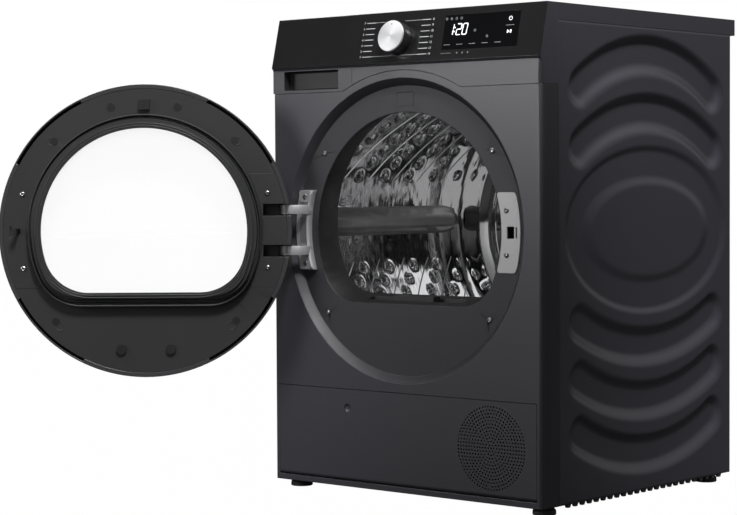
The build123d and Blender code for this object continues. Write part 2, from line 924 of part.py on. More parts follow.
# Front bulkhead across the cabinet, with the axles of the support rollers
bulkhead_high = sleeve_low - close_gap
bulkhead_back = bulkhead_setback + bulkhead_thick
roller_ring = drum_outer + close_gap + roller_radius
roller_x = roller_ring * cos(radians(roller_angle))
roller_z = door_z - roller_ring * sin(radians(roller_angle))
roller_front = drum_front + roller_gap
axle_end = roller_front + roller_width + roller_gap
with BuildPart() as front_bulkhead:
    with BuildSketch(facing(bulkhead_setback)):
        with Locations((0, (bulkhead_low + bulkhead_high) / 2)):
            Rectangle(2 * inner_half, bulkhead_high - bulkhead_low)
    extrude(amount=-bulkhead_thick)
    add(throat_form(throat_wall + close_gap), mode=Mode.SUBTRACT)
    with BuildSketch(facing(bulkhead_back)):
        with Locations((-roller_x, roller_z), (roller_x, roller_z)):
            Circle(roller_axle_radius)
    extrude(amount=bulkhead_back - axle_end)
save(front_bulkhead, "front_bulkhead")

# Support rollers under the front of the drum
for roller_name, sign in [("drum_roller_left", -1), ("drum_roller_right", 1)]:
    with BuildPart() as roller:
        with BuildSketch(facing(roller_front)):
            with Locations((sign * roller_x, roller_z)):
                Circle(roller_radius)
                Circle(roller_axle_radius + running_gap, mode=Mode.SUBTRACT)
        extrude(amount=-roller_width)
    save(roller, roller_name)

# Felt ring that the drum's front lip runs against
lip_radius = drum_radius - drum_lip
with BuildPart() as drum_felt:
    with BuildSketch(facing(bulkhead_back)):
        with Locations((0, door_z)):
            Circle(drum_radius)
            Circle(lip_radius, mode=Mode.SUBTRACT)
    extrude(amount=bulkhead_back + close_gap - drum_front)
save(drum_felt, "drum_felt")

# Throat from the recess to the drum, with the lint filter's pocket under its floor
throat_floor = door_z - opening_flat
throat_top = throat_floor + throat_rise
pocket_front = filter_front - filter_gap
pocket_back = filter_front + filter_thick + filter_gap
pocket_half = filter_half_width + filter_gap
pocket_floor = throat_floor - filter_depth - filter_gap
with BuildPart() as throat_collar:
    add(throat_form(throat_wall))
    with BuildSketch(facing(throat_front)):
        with Locations((0, door_z)):
            add(opening_shape(2 * throat_wall))
    extrude(amount=-throat_wall)
    with BuildSketch(facing(pocket_front - filter_wall)):
        with Locations((0, (throat_top + pocket_floor - filter_wall) / 2)):
            Rectangle(2 * (pocket_half + filter_wall), throat_top - pocket_floor + filter_wall)
    extrude(amount=pocket_front - pocket_back - 2 * filter_wall)
    add(throat_form(0), mode=Mode.SUBTRACT)
    with BuildSketch(facing(pocket_front)):
        with Locations((0, (throat_top + pocket_floor) / 2)):
            Rectangle(2 * pocket_half, throat_top - pocket_floor)
    extrude(amount=pocket_front - pocket_back, mode=Mode.SUBTRACT)
save(throat_collar, "throat_collar")

# Lint filter with a finger grip that stands up in the throat
filter_middle = throat_floor - filter_depth / 2
filter_window_x = filter_half_width / 2
with BuildPart() as lint_filter:
    with BuildSketch(facing(filter_front)):
        with Locations((0, filter_middle)):
            Rectangle(2 * filter_half_width, filter_depth)
        with Locations((0, throat_floor)):
            Rectangle(2 * filter_grip_half, 2 * filter_grip_height)
    extrude(amount=-filter_thick)
    with BuildSketch(Plane.XY.offset(throat_floor + filter_grip_height)):
        with Locations((0, front_y + filter_front + filter_thick / 2)):
            SlotOverall(filter_grip_half, filter_thick - 4 * filter_wall)
    extrude(amount=-2 * filter_grip_height, mode=Mode.SUBTRACT)
    with BuildSketch(facing(filter_front)):
        with Locations((-filter_window_x, filter_middle), (filter_window_x, filter_middle)):
            Rectangle(filter_half_width - 4 * filter_wall, filter_window_height)
    extrude(amount=-filter_wall, mode=Mode.SUBTRACT)
save(lint_filter, "lint_filter")

# Drum: rolled shell with a turned-in front lip
drum_front_y = front_y + drum_front
drum_rear_y = front_y + drum_rear
with BuildPart() as drum_shell:
    with BuildSketch(side_plane(0)):
        with BuildLine():
            Polyline(
                (drum_front_y, door_z + lip_radius),
                (drum_front_y, door_z + drum_outer),
                (drum_rear_y, door_z + drum_outer),
                (drum_rear_y, door_z + drum_radius),
                (drum_front_y + sheet, door_z + drum_radius),
                (drum_front_y + sheet, door_z + lip_radius),
                close=True,
            )
        make_face()
    revolve(axis=drum_axis)
save(drum_shell, "drum_shell")

# Drum back: stepped disc with slots for the air
back_radius = drum_radius - running_gap
back_front_y = drum_rear_y - drum_emboss
with BuildPart() as drum_back:
    with BuildSketch(side_plane(0)):
        with BuildLine():
            Polyline(
                (back_front_y, door_z),
                (back_front_y, door_z + back_radius - 2 * drum_step),
                (drum_rear_y - sheet, door_z + back_radius - drum_step),
                (drum_rear_y - sheet, door_z + back_radius),
                (drum_rear_y, door_z + back_radius),
                (drum_rear_y, door_z + back_radius - drum_step - sheet),
                (back_front_y + sheet, door_z + back_radius - 2 * drum_step - sheet),
                (back_front_y + sheet, door_z),
                close=True,
            )
        make_face()
    revolve(axis=drum_axis)
    with BuildSketch(facing(drum_rear)):
        with Locations((0, door_z)):
            with PolarLocations(back_slot_ring, back_slots):
                SlotOverall(back_slot_length, back_slot_width)
            Circle(shaft_radius + running_gap)
    extrude(amount=2 * drum_emboss, mode=Mode.SUBTRACT)
save(drum_back, "drum_back")

# Drum shaft with a flange inside the drum
with BuildPart() as drum_shaft:
    with BuildSketch(facing(drum_rear - drum_emboss)):
        with Locations((0, door_z)):
            Circle(shaft_flange_radius)
    extrude(amount=2 * sheet)
    with BuildSketch(facing(drum_rear - drum_emboss)):
        with Locations((0, door_z)):
            Circle(shaft_radius)
    extrude(amount=-drum_emboss - shaft_tail)
save(drum_shaft, "drum_shaft")

# Three lifters, evenly spaced round the shell
lifter_base = drum_radius - close_gap
with BuildSketch() as lifter_end_view:
    with BuildLine():
        Polyline(
            (lifter_base - lifter_height, -lifter_crest / 2),
            (lifter_base - lifter_sink, -lifter_foot / 2),
            (lifter_base, -lifter_foot / 2),
            (lifter_base, lifter_foot / 2),
            (lifter_base - lifter_sink, lifter_foot / 2),
            (lifter_base - lifter_height, lifter_crest / 2),
            close=True,
        )
    make_face()
    Circle(lifter_base, mode=Mode.INTERSECT)
with BuildPart() as lifters:
    with BuildSketch(facing(lifter_start)):
        with Locations((0, door_z)):
            with PolarLocations(0, lifter_count, start_angle=lifter_angle):
                add(lifter_end_view.sketch)
    extrude(amount=lifter_start - lifter_end)
save(lifters, "lifters")

# Rear panel with the air openings, sheltered by the lid
rear_panel_top = side_top - sheet - close_gap
motor_spot = (motor_x, motor_z)
with BuildPart() as rear_panel:
    with BuildSketch(facing(panel_setback)):
        with Locations((0, (flange_low + rear_panel_top) / 2)):
            Rectangle(2 * inner_half, rear_panel_top - flange_low)
        with Locations((0, door_z)):
            Circle(duct_hole, mode=Mode.SUBTRACT)
        with Locations(motor_spot):
            Circle(fan_inlet_radius, mode=Mode.SUBTRACT)
        with Locations((spigot_x, spigot_z)):
            Circle(spigot_neck + close_gap, mode=Mode.SUBTRACT)
        with Locations((inlet_x, inlet_z)):
            Rectangle(inlet_width, inlet_height, mode=Mode.SUBTRACT)
    extrude(amount=-sheet)
save(rear_panel, "rear_panel")

# Bridge across the round air opening that holds the drum's bearing
bridge_setback = panel_setback - bridge_thick
with BuildPart() as bearing_bridge:
    with BuildSketch(facing(bridge_setback)):
        with Locations((0, door_z)):
            Rectangle(bridge_width, 2 * (duct_hole + bridge_overlap))
    extrude(amount=-bridge_thick)
    with BuildSketch(facing(panel_setback)):
        with Locations((0, door_z)):
            Circle(hub_radius)
    extrude(amount=hub_length)
    with BuildSketch(facing(drum_rear)):
        with Locations((0, door_z)):
            Circle(shaft_radius + running_gap)
    extrude(amount=-body_depth, mode=Mode.SUBTRACT)
save(bearing_bridge, "bearing_bridge")

# Pressed duct cover outside the rear panel, with a tail that reaches the fan
duct_setback = panel_setback + sheet
duct_inner = duct_radius - duct_edge
duct_tail_inner = duct_tail_radius - duct_edge
with BuildPart() as rear_duct_cover:
    with BuildSketch(facing(duct_setback)):
        add(hull_shape((0, door_z), duct_radius, motor_spot, duct_tail_radius))
    extrude(amount=-duct_bulge)
    fillet(rear_duct_cover.faces().sort_by(Axis.Y)[-1].edges(), duct_edge)
    with BuildSketch(facing(duct_setback)):
        add(hull_shape((0, door_z), duct_inner, motor_spot, duct_tail_inner))
    extrude(amount=2 * sheet - duct_bulge, mode=Mode.SUBTRACT)
save(rear_duct_cover, "rear_duct_cover")

# Mains inlet with a gland for the lead
with BuildPart() as mains_inlet:
    with BuildSketch(facing(duct_setback)):
        with Locations((inlet_x, inlet_z)):
            Rectangle(inlet_width + 2 * inlet_rim, inlet_height + 2 * inlet_rim)
    extrude(amount=-2 * sheet)
    with BuildSketch(facing(duct_setback)):
        with Locations((inlet_x, inlet_z)):
            Rectangle(inlet_width - 2 * close_gap, inlet_height - 2 * close_gap)
    extrude(amount=inlet_depth)
    with BuildSketch(facing(duct_setback + 2 * sheet)):
        with Locations((inlet_x, inlet_z)):
            Circle(gland_radius)
            Circle(gland_radius / 2, mode=Mode.SUBTRACT)
    extrude(amount=-gland_length)
save(mains_inlet, "mains_inlet")

# Spigot for a drain hose
with BuildPart() as drain_spigot:
    with BuildSketch(facing(panel_setback)):
        with Locations((spigot_x, spigot_z)):
            Circle(spigot_flange)
    extrude(amount=2 * sheet)
    with BuildSketch(facing(panel_setback)):
        with Locations((spigot_x, spigot_z)):
            Circle(spigot_neck)
    extrude(amount=-sheet)
    with BuildSketch(facing(panel_setback + sheet)):
        with Locations((spigot_x, spigot_z)):
            Circle(spigot_radius)
    extrude(amount=-spigot_length)
    with BuildSketch(facing(panel_setback - 2 * sheet)):
        with Locations((spigot_x, spigot_z)):
            Circle(spigot_bore)
    extrude(amount=-body_depth, mode=Mode.SUBTRACT)
save(drain_spigot, "drain_spigot")

# Belt round the drum and the motor pulley
belt_round = drum_outer + close_gap
belt_small = pulley_radius + close_gap
belt_front = belt_setback - belt_width / 2
with BuildPart() as drive_belt:
    with BuildSketch(facing(belt_front)):
        add(hull_shape((0, door_z), belt_round + belt_thick, motor_spot, belt_small + belt_thick))
        add(hull_shape((0, door_z), belt_round, motor_spot, belt_small), mode=Mode.SUBTRACT)
    extrude(amount=-belt_width)
save(drive_belt, "drive_belt")

# The belt's lower run, and the idler that presses on it from outside
belt_reach = hypot(motor_x, motor_z - door_z)
run_angle = atan2(motor_z - door_z, motor_x) - acos((belt_round - belt_small) / belt_reach)
run_start = Vector(belt_round * cos(run_angle), door_z + belt_round * sin(run_angle))
run_end = Vector(motor_x + belt_small * cos(run_angle), motor_z + belt_small * sin(run_angle))
idler_offset = Vector(cos(run_angle), sin(run_angle)) * (belt_thick + close_gap + idler_radius)
idler_spot = run_start + (run_end - run_start) * idler_share + idler_offset
idler_front = belt_setback - idler_width / 2
with BuildPart() as idler_pulley:
    with BuildSketch(facing(idler_front)):
        with Locations(idler_spot):
            Circle(idler_radius)
            Circle(idler_axle_radius + running_gap, mode=Mode.SUBTRACT)
    extrude(amount=-idler_width)
save(idler_pulley, "idler_pulley")

# Motor on two legs, with the idler's arm cast on its front
idler_arm_front = motor_front - idler_arm_thick
with BuildPart() as motor:
    with BuildSketch(facing(motor_front)):
        with Locations(motor_spot):
            Circle(motor_radius)
    extrude(amount=motor_front - motor_rear)
    for leg_setback in [motor_front + motor_leg_thick, motor_rear - 2 * motor_leg_thick]:
        with BuildSketch(facing(leg_setback)):
            with Locations((motor_x, (pan_floor + motor_z) / 2)):
                Rectangle(motor_leg_width, motor_z - pan_floor)
        extrude(amount=-motor_leg_thick)
    with BuildSketch(facing(idler_arm_front)):
        add(hull_shape(idler_spot, idler_arm_tip, motor_spot, idler_arm_root))
    extrude(amount=-idler_arm_thick)
    with BuildSketch(facing(idler_arm_front)):
        with Locations(idler_spot):
            Circle(idler_axle_radius)
    extrude(amount=idler_arm_front - idler_front)
    with BuildSketch(facing(idler_arm_front)):
        with Locations(motor_spot):
            Circle(motor_shaft_radius + running_gap)
    extrude(amount=-body_depth, mode=Mode.SUBTRACT)
save(motor, "motor")

# Motor shaft with the belt pulley at its front end
pulley_front = belt_setback - pulley_width / 2
fan_rear = fan_front + fan_width
with BuildPart() as motor_shaft:
    with BuildSketch(facing(pulley_front)):
        with Locations(motor_spot):
            Circle(pulley_radius)
    extrude(amount=-pulley_width)
    with BuildSketch(facing(pulley_front)):
        with Locations(motor_spot):
            Circle(motor_shaft_radius)
    extrude(amount=pulley_front - fan_rear)
save(motor_shaft, "motor_shaft")

# Fan wheel: a plate, a hub and a ring of blades
blade_ring = fan_radius - fan_blade_depth / 2
with BuildPart() as fan_wheel:
    with BuildSketch(facing(fan_rear)):
        with Locations(motor_spot):
            Circle(fan_radius)
    extrude(amount=fan_plate)
    with BuildSketch(facing(fan_rear)):
        with Locations(motor_spot):
            Circle(fan_hub_radius)
            with PolarLocations(blade_ring, fan_blades):
                Rectangle(fan_blade_depth, fan_blade_thick)
    extrude(amount=fan_width)
    with BuildSketch(facing(fan_rear)):
        with Locations(motor_spot):
            Circle(motor_shaft_radius + running_gap)
    extrude(amount=fan_width, mode=Mode.SUBTRACT)
save(fan_wheel, "fan_wheel")

# Fan housing on the pan, open towards the rear duct
fan_room = fan_radius + fan_gap
housing_front = fan_front - fan_gap - fan_wall
housing_back = panel_setback - pan_wall - 2 * close_gap
with BuildPart() as fan_housing:
    with BuildSketch(facing(housing_front)):
        with Locations(motor_spot):
            Circle(fan_room + fan_wall)
        with Locations((motor_x, (pan_floor + motor_z) / 2)):
            Rectangle(fan_room, motor_z - pan_floor)
    extrude(amount=housing_front - housing_back)
    with BuildSketch(facing(housing_front + fan_wall)):
        with Locations(motor_spot):
            Circle(fan_room)
    extrude(amount=-body_depth, mode=Mode.SUBTRACT)
    with BuildSketch(facing(housing_front)):
        with Locations(motor_spot):
            Circle(fan_inlet_radius)
    extrude(amount=-2 * fan_wall, mode=Mode.SUBTRACT)
save(fan_housing, "fan_housing")

# Compressor lying on a cradle
compressor_length = compressor_rear - compressor_front
with BuildPart() as compressor:
    with BuildSketch(facing(compressor_front)):
        with Locations((compressor_x, compressor_z)):
            Circle(compressor_radius)
    extrude(amount=-compressor_length)
    fillet(compressor.edges().filter_by(GeomType.CIRCLE), compressor_edge)
    with BuildSketch(facing(compressor_front + cradle_inset)):
        with Locations((compressor_x, (pan_floor + compressor_z) / 2)):
            Rectangle(cradle_width, compressor_z - pan_floor)
    extrude(amount=2 * cradle_inset - compressor_length)
save(compressor, "compressor")

# Two finned coils, one behind the other
coil_x = (coil_left + coil_right) / 2
coil_middle = (pan_floor + coil_high) / 2
coil_pitch = (coil_right - coil_left) / (coil_fins + 1)
for coil_name, coil_start in [("evaporator", coil_front), ("condenser", coil_front + coil_depth + coil_gap)]:
    with BuildPart() as coil:
        with BuildSketch(facing(coil_start)):
            with Locations((coil_x, coil_middle)):
                Rectangle(coil_right - coil_left, coil_high - pan_floor)
        extrude(amount=-coil_depth)
        with BuildSketch(facing(coil_start)):
            with Locations((coil_x, coil_middle)):
                with GridLocations(coil_pitch, 1, coil_fins, 1):
                    Rectangle(coil_fin_gap, coil_high - pan_floor - 2 * coil_fin_margin)
        extrude(amount=-coil_fin_depth, mode=Mode.SUBTRACT)
    save(coil, coil_name)

# Copper pipes from the compressor to the coils
high_y = front_y + compressor_rear
low_y = front_y + coil_front + coil_depth / 2
pipe_end = coil_right + close_gap
low_length = compressor_x - compressor_radius - close_gap - pipe_end
with BuildPart() as refrigerant_pipes:
    with BuildLine() as high_path:
        FilletPolyline(
            (compressor_x, high_y + close_gap, pipe_high),
            (compressor_x, high_y + pipe_run, pipe_high),
            (pipe_end, high_y + pipe_run, pipe_high),
            radius=pipe_bend,
        )
    with BuildSketch(Plane(origin=high_path.line @ 0, z_dir=high_path.line % 0)):
        Circle(pipe_radius)
    sweep(path=high_path.line)
    with BuildSketch(side_plane(pipe_end)):
        with Locations((low_y, pipe_low)):
            Circle(pipe_radius)
    extrude(amount=low_length)
save(refrigerant_pipes, "refrigerant_pipes")

# Hinge bracket on the recess floor, with two gooseneck arms
throat_spot = (arm_throat_x, front_y + arm_throat_setback)
arm_reach = hypot(hinge_x - arm_throat_x, hinge_setback - arm_throat_setback)
arm_start_angle = degrees(atan2(hinge_setback - arm_throat_setback, hinge_x - arm_throat_x))
arm_shape = ring_sector(arm_reach + arm_thick / 2, arm_reach - arm_thick / 2, arm_start_angle, arm_end_angle)
with BuildPart() as hinge_bracket:
    with BuildSketch(facing(recess_depth - bracket_thick)):
        with Locations((0, door_z)):
            add(ring_segment(bracket_outer, bracket_inner, -1, bracket_half))
    extrude(amount=-bracket_thick)
    for arm_middle in [door_z - arm_offset, door_z + arm_offset]:
        with BuildSketch(Plane.XY.offset(arm_middle - arm_height / 2)):
            with Locations(throat_spot):
                add(arm_shape)
            with Locations(pin_spot):
                Circle(knuckle_radius)
                Circle(hinge_pin_radius + running_gap, mode=Mode.SUBTRACT)
        extrude(amount=arm_height)
save(hinge_bracket, "hinge_bracket")

with BuildPart() as hinge_pin:
    with BuildSketch(Plane.XY.offset(door_z - hinge_pin_half)):
        with Locations(pin_spot):
            Circle(hinge_pin_radius)
    extrude(amount=2 * hinge_pin_half)
save(hinge_pin, "hinge_pin")

# Strike plate round the latch hole
with BuildPart() as strike_plate:
    with BuildSketch(facing(strike_face)):
        with Locations((0, door_z)):
            add(ring_segment(strike_outer, strike_inner, 1, strike_half))
            with Locations((latch_x, 0)):
                Rectangle(latch_hole_width, latch_hole_height, mode=Mode.SUBTRACT)
            with Locations((strike_slot_x, 0)):
                Rectangle(latch_slot_width, latch_slot_height, mode=Mode.SUBTRACT)
    extrude(amount=-strike_thick)
save(strike_plate, "strike_plate")

# Lock behind the strike plate
with BuildPart() as door_lock:
    with BuildSketch(facing(throat_front)):
        with Locations(((lock_left + lock_right) / 2, door_z)):
            Rectangle(lock_right - lock_left, 2 * lock_half)
    extrude(amount=-lock_depth)
    with BuildSketch(facing(throat_front)):
        with Locations((latch_x, door_z)):
            Rectangle(latch_hole_width, latch_hole_height)
    extrude(amount=-lock_cavity, mode=Mode.SUBTRACT)
save(door_lock, "door_lock")

# The door is drawn shut and built where it stands open. Outer ring with a bevelled edge
door_side = Plane(door_swing * side_plane(0).location)
door_axis = Axis(door_side.from_local_coords(Vector(0, door_z, 0)), door_side.x_dir)
bevel_drop = door_depth - door_edge
bevel_length = hypot(bevel_drop, door_bevel)
wall_setback = -door_gap - door_edge + door_wall * (bevel_length - bevel_drop) / door_bevel
bevel_inset = door_bevel + door_wall * (bevel_length - door_bevel) / bevel_drop
ledge_setback = door_front + glass_thick
slot_x = (slot_left + slot_right) / 2
with BuildPart() as door_outer_ring:
    with BuildSketch(door_side):
        with BuildLine():
            Polyline(
                (front_y - door_gap, door_z + door_radius),
                (front_y - door_gap - door_edge, door_z + door_radius),
                (front_y + door_front, door_z + door_radius - door_bevel),
                (front_y + door_front, door_z + face_radius),
                (front_y + ledge_setback, door_z + face_radius),
                (front_y + ledge_setback, door_z + face_radius - ledge_width),
                (front_y + ledge_setback + door_wall, door_z + face_radius - ledge_width),
                (front_y + ledge_setback + door_wall, door_z + face_radius + door_wall),
                (front_y + door_front + door_wall, door_z + face_radius + door_wall),
                (front_y + door_front + door_wall, door_z + door_radius - bevel_inset),
                (front_y + wall_setback, door_z + door_radius - door_wall),
                (front_y - door_gap - door_wall, door_z + door_radius - door_wall),
                (front_y - door_gap - door_wall, door_z + door_radius - door_lip),
                (front_y - door_gap, door_z + door_radius - door_lip),
                close=True,
            )
        make_face()
    revolve(axis=door_axis)
    with BuildSketch(door_face(-door_gap)):
        with Locations((0, door_z)):
            for turn in [0, 180]:
                for start, end in [(grip_start, grip_end), (-grip_end, -grip_start)]:
                    add(ring_sector(door_radius - door_wall, inner_radius - door_lip, turn + start, turn + end))
    extrude(amount=door_wall, mode=Mode.SUBTRACT)
    with BuildSketch(door_face(-door_gap)):
        with Locations((slot_x, door_z - arm_offset), (slot_x, door_z + arm_offset)):
            Rectangle(slot_right - slot_left, slot_height)
    extrude(amount=-door_gap - slot_setback, mode=Mode.SUBTRACT)
save(door_outer_ring, "door_outer_ring")

with BuildPart() as door_outer_glass:
    with BuildSketch(door_face(door_front)):
        with Locations((0, door_z)):
            Circle(face_radius - close_gap)
    extrude(amount=-glass_thick)
save(door_outer_glass, "door_outer_glass")

# Inner frame: ring plate, window collar, and the blocks that hold the hinge pin and the hook
door_screw_spots = [(side * door_screw_x, rise * door_screw_rise) for side in (-1, 1) for rise in (-1, 1)]
collar_front = ledge_setback + door_wall + close_gap
ear_middle = (ear_inner + hinge_pin_half) / 2
hook_pin_half = hook_height / 2 + close_gap + hook_ear
hook_ear_rise = hook_pin_half - hook_ear / 2
hook_hole_width = hook_width + 2 * hook_play
hook_hole_height = hook_height + 2 * close_gap
hook_spot = (latch_x, front_y + hook_pivot_setback)
with BuildPart() as door_inner_frame:
    with BuildSketch(door_face(-door_gap)):
        with Locations((0, door_z)):
            Circle(inner_radius)
            for side in [-1, 1]:
                cover_room = ring_segment(door_radius, cover_inner - close_gap, side, cover_half_height + close_gap)
                add(cover_room, mode=Mode.SUBTRACT)
    extrude(amount=cover_thick)
    with BuildSketch(door_face(cover_back)):
        with Locations((0, door_z)):
            Circle(inner_radius)
    extrude(amount=inner_plate)
    with BuildSketch(door_face(collar_reach)):
        with Locations((0, door_z)):
            add(opening_shape(-collar_gap))
    extrude(amount=collar_reach - collar_front)
    with BuildSketch(door_face(collar_reach + bezel_height)):
        with Locations((0, door_z)):
            add(opening_shape(-bezel_gap))
    extrude(amount=bezel_height)
    with BuildSketch(door_face(collar_reach)):
        with Locations((0, door_z)):
            add(opening_shape(-collar_gap - collar_rim))
    extrude(amount=collar_reach + door_gap, mode=Mode.SUBTRACT)
    with BuildSketch(door_face(-door_gap)):
        with Locations((0, door_z)):
            add(opening_shape(-collar_gap - collar_wall))
    extrude(amount=door_depth, mode=Mode.SUBTRACT)
    with BuildSketch(door_face(collar_reach + bezel_height)):
        with Locations((0, door_z)):
            add(d_shape(window_radius, window_flat, window_corner))
    extrude(amount=bezel_height, mode=Mode.SUBTRACT)
    with BuildSketch(door_face(plate_back)):
        with Locations((0, door_z)):
            with Locations((hinge_x, 0)):
                Rectangle(block_width, 2 * block_half)
            with Locations((hinge_x, ear_middle), (hinge_x, -ear_middle)):
                Rectangle(block_width, hinge_pin_half - ear_inner)
            Circle(block_limit, mode=Mode.INTERSECT)
    extrude(amount=plate_back - block_setback)
    with BuildSketch(door_face(plate_back)):
        with Locations((latch_x, door_z + hook_ear_rise), (latch_x, door_z - hook_ear_rise)):
            Rectangle(2 * hook_root_radius, hook_ear)
    extrude(amount=plate_back - hook_pivot_setback + hook_root_radius)
    with BuildSketch(door_face(-door_gap)):
        with Locations((slot_x, door_z - arm_offset), (slot_x, door_z + arm_offset)):
            Rectangle(slot_right - slot_left, slot_height)
    extrude(amount=-door_gap - slot_setback, mode=Mode.SUBTRACT)
    with BuildSketch(door_face(-door_gap)):
        with Locations((0, door_z)):
            with Locations((latch_x, 0)):
                Rectangle(hook_hole_width, hook_hole_height)
            with Locations(*door_screw_spots):
                Circle(screw_shank_radius + running_gap)
    extrude(amount=cover_thick + inner_plate, mode=Mode.SUBTRACT)
    with BuildSketch(Plane.XY.offset(door_z - hinge_pin_half)):
        with Locations(pin_spot):
            Circle(hinge_pin_radius + running_gap)
    extrude(amount=2 * hinge_pin_half, mode=Mode.SUBTRACT)
    with BuildSketch(door_level(door_z - hook_pin_half)):
        with Locations(hook_spot):
            Circle(hook_pivot_radius + running_gap)
    extrude(amount=2 * hook_pin_half, mode=Mode.SUBTRACT)
save(door_inner_frame, "door_inner_frame")

# Inner glass seated against the bezel
with BuildPart() as door_glass:
    with BuildSketch(door_face(collar_reach)):
        with Locations((0, door_z)):
            add(opening_shape(-collar_gap - collar_rim - close_gap))
    extrude(amount=glass_thick)
save(door_glass, "door_glass")

# Rubber seal round the collar, with a raised outer lip
seal_top = recess_depth - seal_squeeze
with BuildPart() as door_seal:
    with BuildSketch(door_face(seal_base - door_gap)):
        with Locations((0, door_z)):
            add(seal_shape(0))
            add(opening_shape(close_gap - collar_gap), mode=Mode.SUBTRACT)
    extrude(amount=seal_base)
    with BuildSketch(door_face(seal_top)):
        with Locations((0, door_z)):
            add(seal_shape(0))
            add(seal_shape(-seal_lip), mode=Mode.SUBTRACT)
    extrude(amount=seal_top + door_gap - seal_base)
save(door_seal, "door_seal")

# Covers over the hinge and the latch, let into the ring plate
with BuildPart() as hinge_cover:
    with BuildSketch(door_face(-door_gap)):
        with Locations((0, door_z)):
            add(ring_segment(inner_radius, cover_inner, -1, cover_half_height))
            with Locations((slot_x, -arm_offset), (slot_x, arm_offset)):
                Rectangle(slot_right - slot_left, slot_height, mode=Mode.SUBTRACT)
            with Locations(*door_screw_spots):
                Circle(screw_shank_radius + running_gap, mode=Mode.SUBTRACT)
    extrude(amount=cover_thick)
save(hinge_cover, "hinge_cover")

with BuildPart() as latch_cover:
    with BuildSketch(door_face(-door_gap)):
        with Locations((0, door_z)):
            add(ring_segment(inner_radius, cover_inner, 1, cover_half_height))
            with Locations((latch_x, 0)):
                Rectangle(hook_hole_width, hook_hole_height, mode=Mode.SUBTRACT)
            with Locations((strike_slot_x, 0)):
                Rectangle(latch_slot_width, latch_slot_height, mode=Mode.SUBTRACT)
            with Locations(*door_screw_spots):
                Circle(screw_shank_radius + running_gap, mode=Mode.SUBTRACT)
    extrude(amount=cover_thick)
save(latch_cover, "latch_cover")

with BuildPart() as door_screws:
    with BuildSketch(door_face(-door_gap)):
        with Locations((0, door_z)):
            with Locations(*door_screw_spots):
                Circle(door_screw_head)
    extrude(amount=-screw_head_height)
    with BuildSketch(door_face(-door_gap)):
        with Locations((0, door_z)):
            with Locations(*door_screw_spots):
                Circle(screw_shank_radius)
    extrude(amount=screw_length)
save(door_screws, "door_screws")

# Rubber buffers, and the caps over the frame's screws
with BuildPart() as door_buffers:
    with BuildSketch(door_face(-door_gap)):
        with Locations((0, door_z + buffer_rise)):
            Rectangle(buffer_width, buffer_tall)
    extrude(amount=-buffer_height)
    with BuildSketch(door_face(-door_gap)):
        with Locations((-stud_offset, door_z - stud_drop), (stud_offset, door_z - stud_drop)):
            Circle(stud_radius)
    extrude(amount=-stud_height)
    with BuildSketch(door_face(-door_gap)):
        with Locations((0, door_z)):
            with Locations(*cap_spots):
                Circle(cap_radius)
    extrude(amount=-cap_height)
save(door_buffers, "door_buffers")

# Sprung latch hook on its own small pin
with BuildPart() as latch_hook:
    with BuildSketch(door_face(hook_reach)):
        with Locations((latch_x, door_z)):
            Rectangle(hook_width, hook_height)
    extrude(amount=hook_reach - hook_pivot_setback)
    with BuildSketch(door_face(hook_reach)):
        with Locations((latch_x + hook_barb / 2, door_z)):
            Rectangle(hook_width + hook_barb, hook_height)
    extrude(amount=hook_barb_length)
    with BuildSketch(door_level(door_z - hook_height / 2)):
        with Locations(hook_spot):
            Circle(hook_root_radius)
    extrude(amount=hook_height)
    with BuildSketch(door_level(door_z - hook_pin_half)):
        with Locations(hook_spot):
            Circle(hook_pivot_radius)
    extrude(amount=2 * hook_pin_half)
save(latch_hook, "latch_hook")
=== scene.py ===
import math

import bmesh
import bpy
from mathutils import Matrix, Vector
from mathutils.geometry import delaunay_2d_cdt


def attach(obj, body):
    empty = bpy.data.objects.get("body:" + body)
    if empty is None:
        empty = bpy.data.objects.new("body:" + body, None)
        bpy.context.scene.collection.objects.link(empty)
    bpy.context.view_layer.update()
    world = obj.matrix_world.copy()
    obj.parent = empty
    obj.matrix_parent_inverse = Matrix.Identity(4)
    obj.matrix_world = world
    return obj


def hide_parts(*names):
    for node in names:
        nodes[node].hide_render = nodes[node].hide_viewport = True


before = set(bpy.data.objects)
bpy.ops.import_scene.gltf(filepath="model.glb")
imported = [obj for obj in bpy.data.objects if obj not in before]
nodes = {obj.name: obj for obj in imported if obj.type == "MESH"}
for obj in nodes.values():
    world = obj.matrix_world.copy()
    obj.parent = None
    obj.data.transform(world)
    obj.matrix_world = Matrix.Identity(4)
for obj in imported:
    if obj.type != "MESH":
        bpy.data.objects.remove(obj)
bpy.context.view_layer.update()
mm = 0.001
frontY = -0.2915  # flat front face of the cabinet
doorZ = 0.467  # height of the drum and door centre
print("frame loaded:", len(nodes), "nodes")


class Wire:
    def __init__(self, tree, socket):
        self.tree = tree
        self.socket = socket

    def node(self, kind, settings=None, sockets=None, output=0):
        made = self.tree.nodes.new(kind)
        for key, value in (settings or {}).items():
            setattr(made, key, value)
        for key, value in (sockets or {}).items():
            if isinstance(value, Wire):
                self.tree.links.new(value.socket, made.inputs[key])
            else:
                made.inputs[key].default_value = value
        return None if output is None else Wire(self.tree, made.outputs[output])

    def maths(self, operation, first, second=0.0):
        return self.node("ShaderNodeMath", {"operation": operation}, {0: first, 1: second})

    def __add__(self, other):
        return self.maths("ADD", self, other)

    def __radd__(self, other):
        return self.maths("ADD", other, self)

    def __sub__(self, other):
        return self.maths("SUBTRACT", self, other)

    def __rsub__(self, other):
        return self.maths("SUBTRACT", other, self)

    def __mul__(self, other):
        return self.maths("MULTIPLY", self, other)

    def __rmul__(self, other):
        return self.maths("MULTIPLY", other, self)

    def __truediv__(self, other):
        return self.maths("DIVIDE", self, other)

    def __rtruediv__(self, other):
        return self.maths("DIVIDE", other, self)


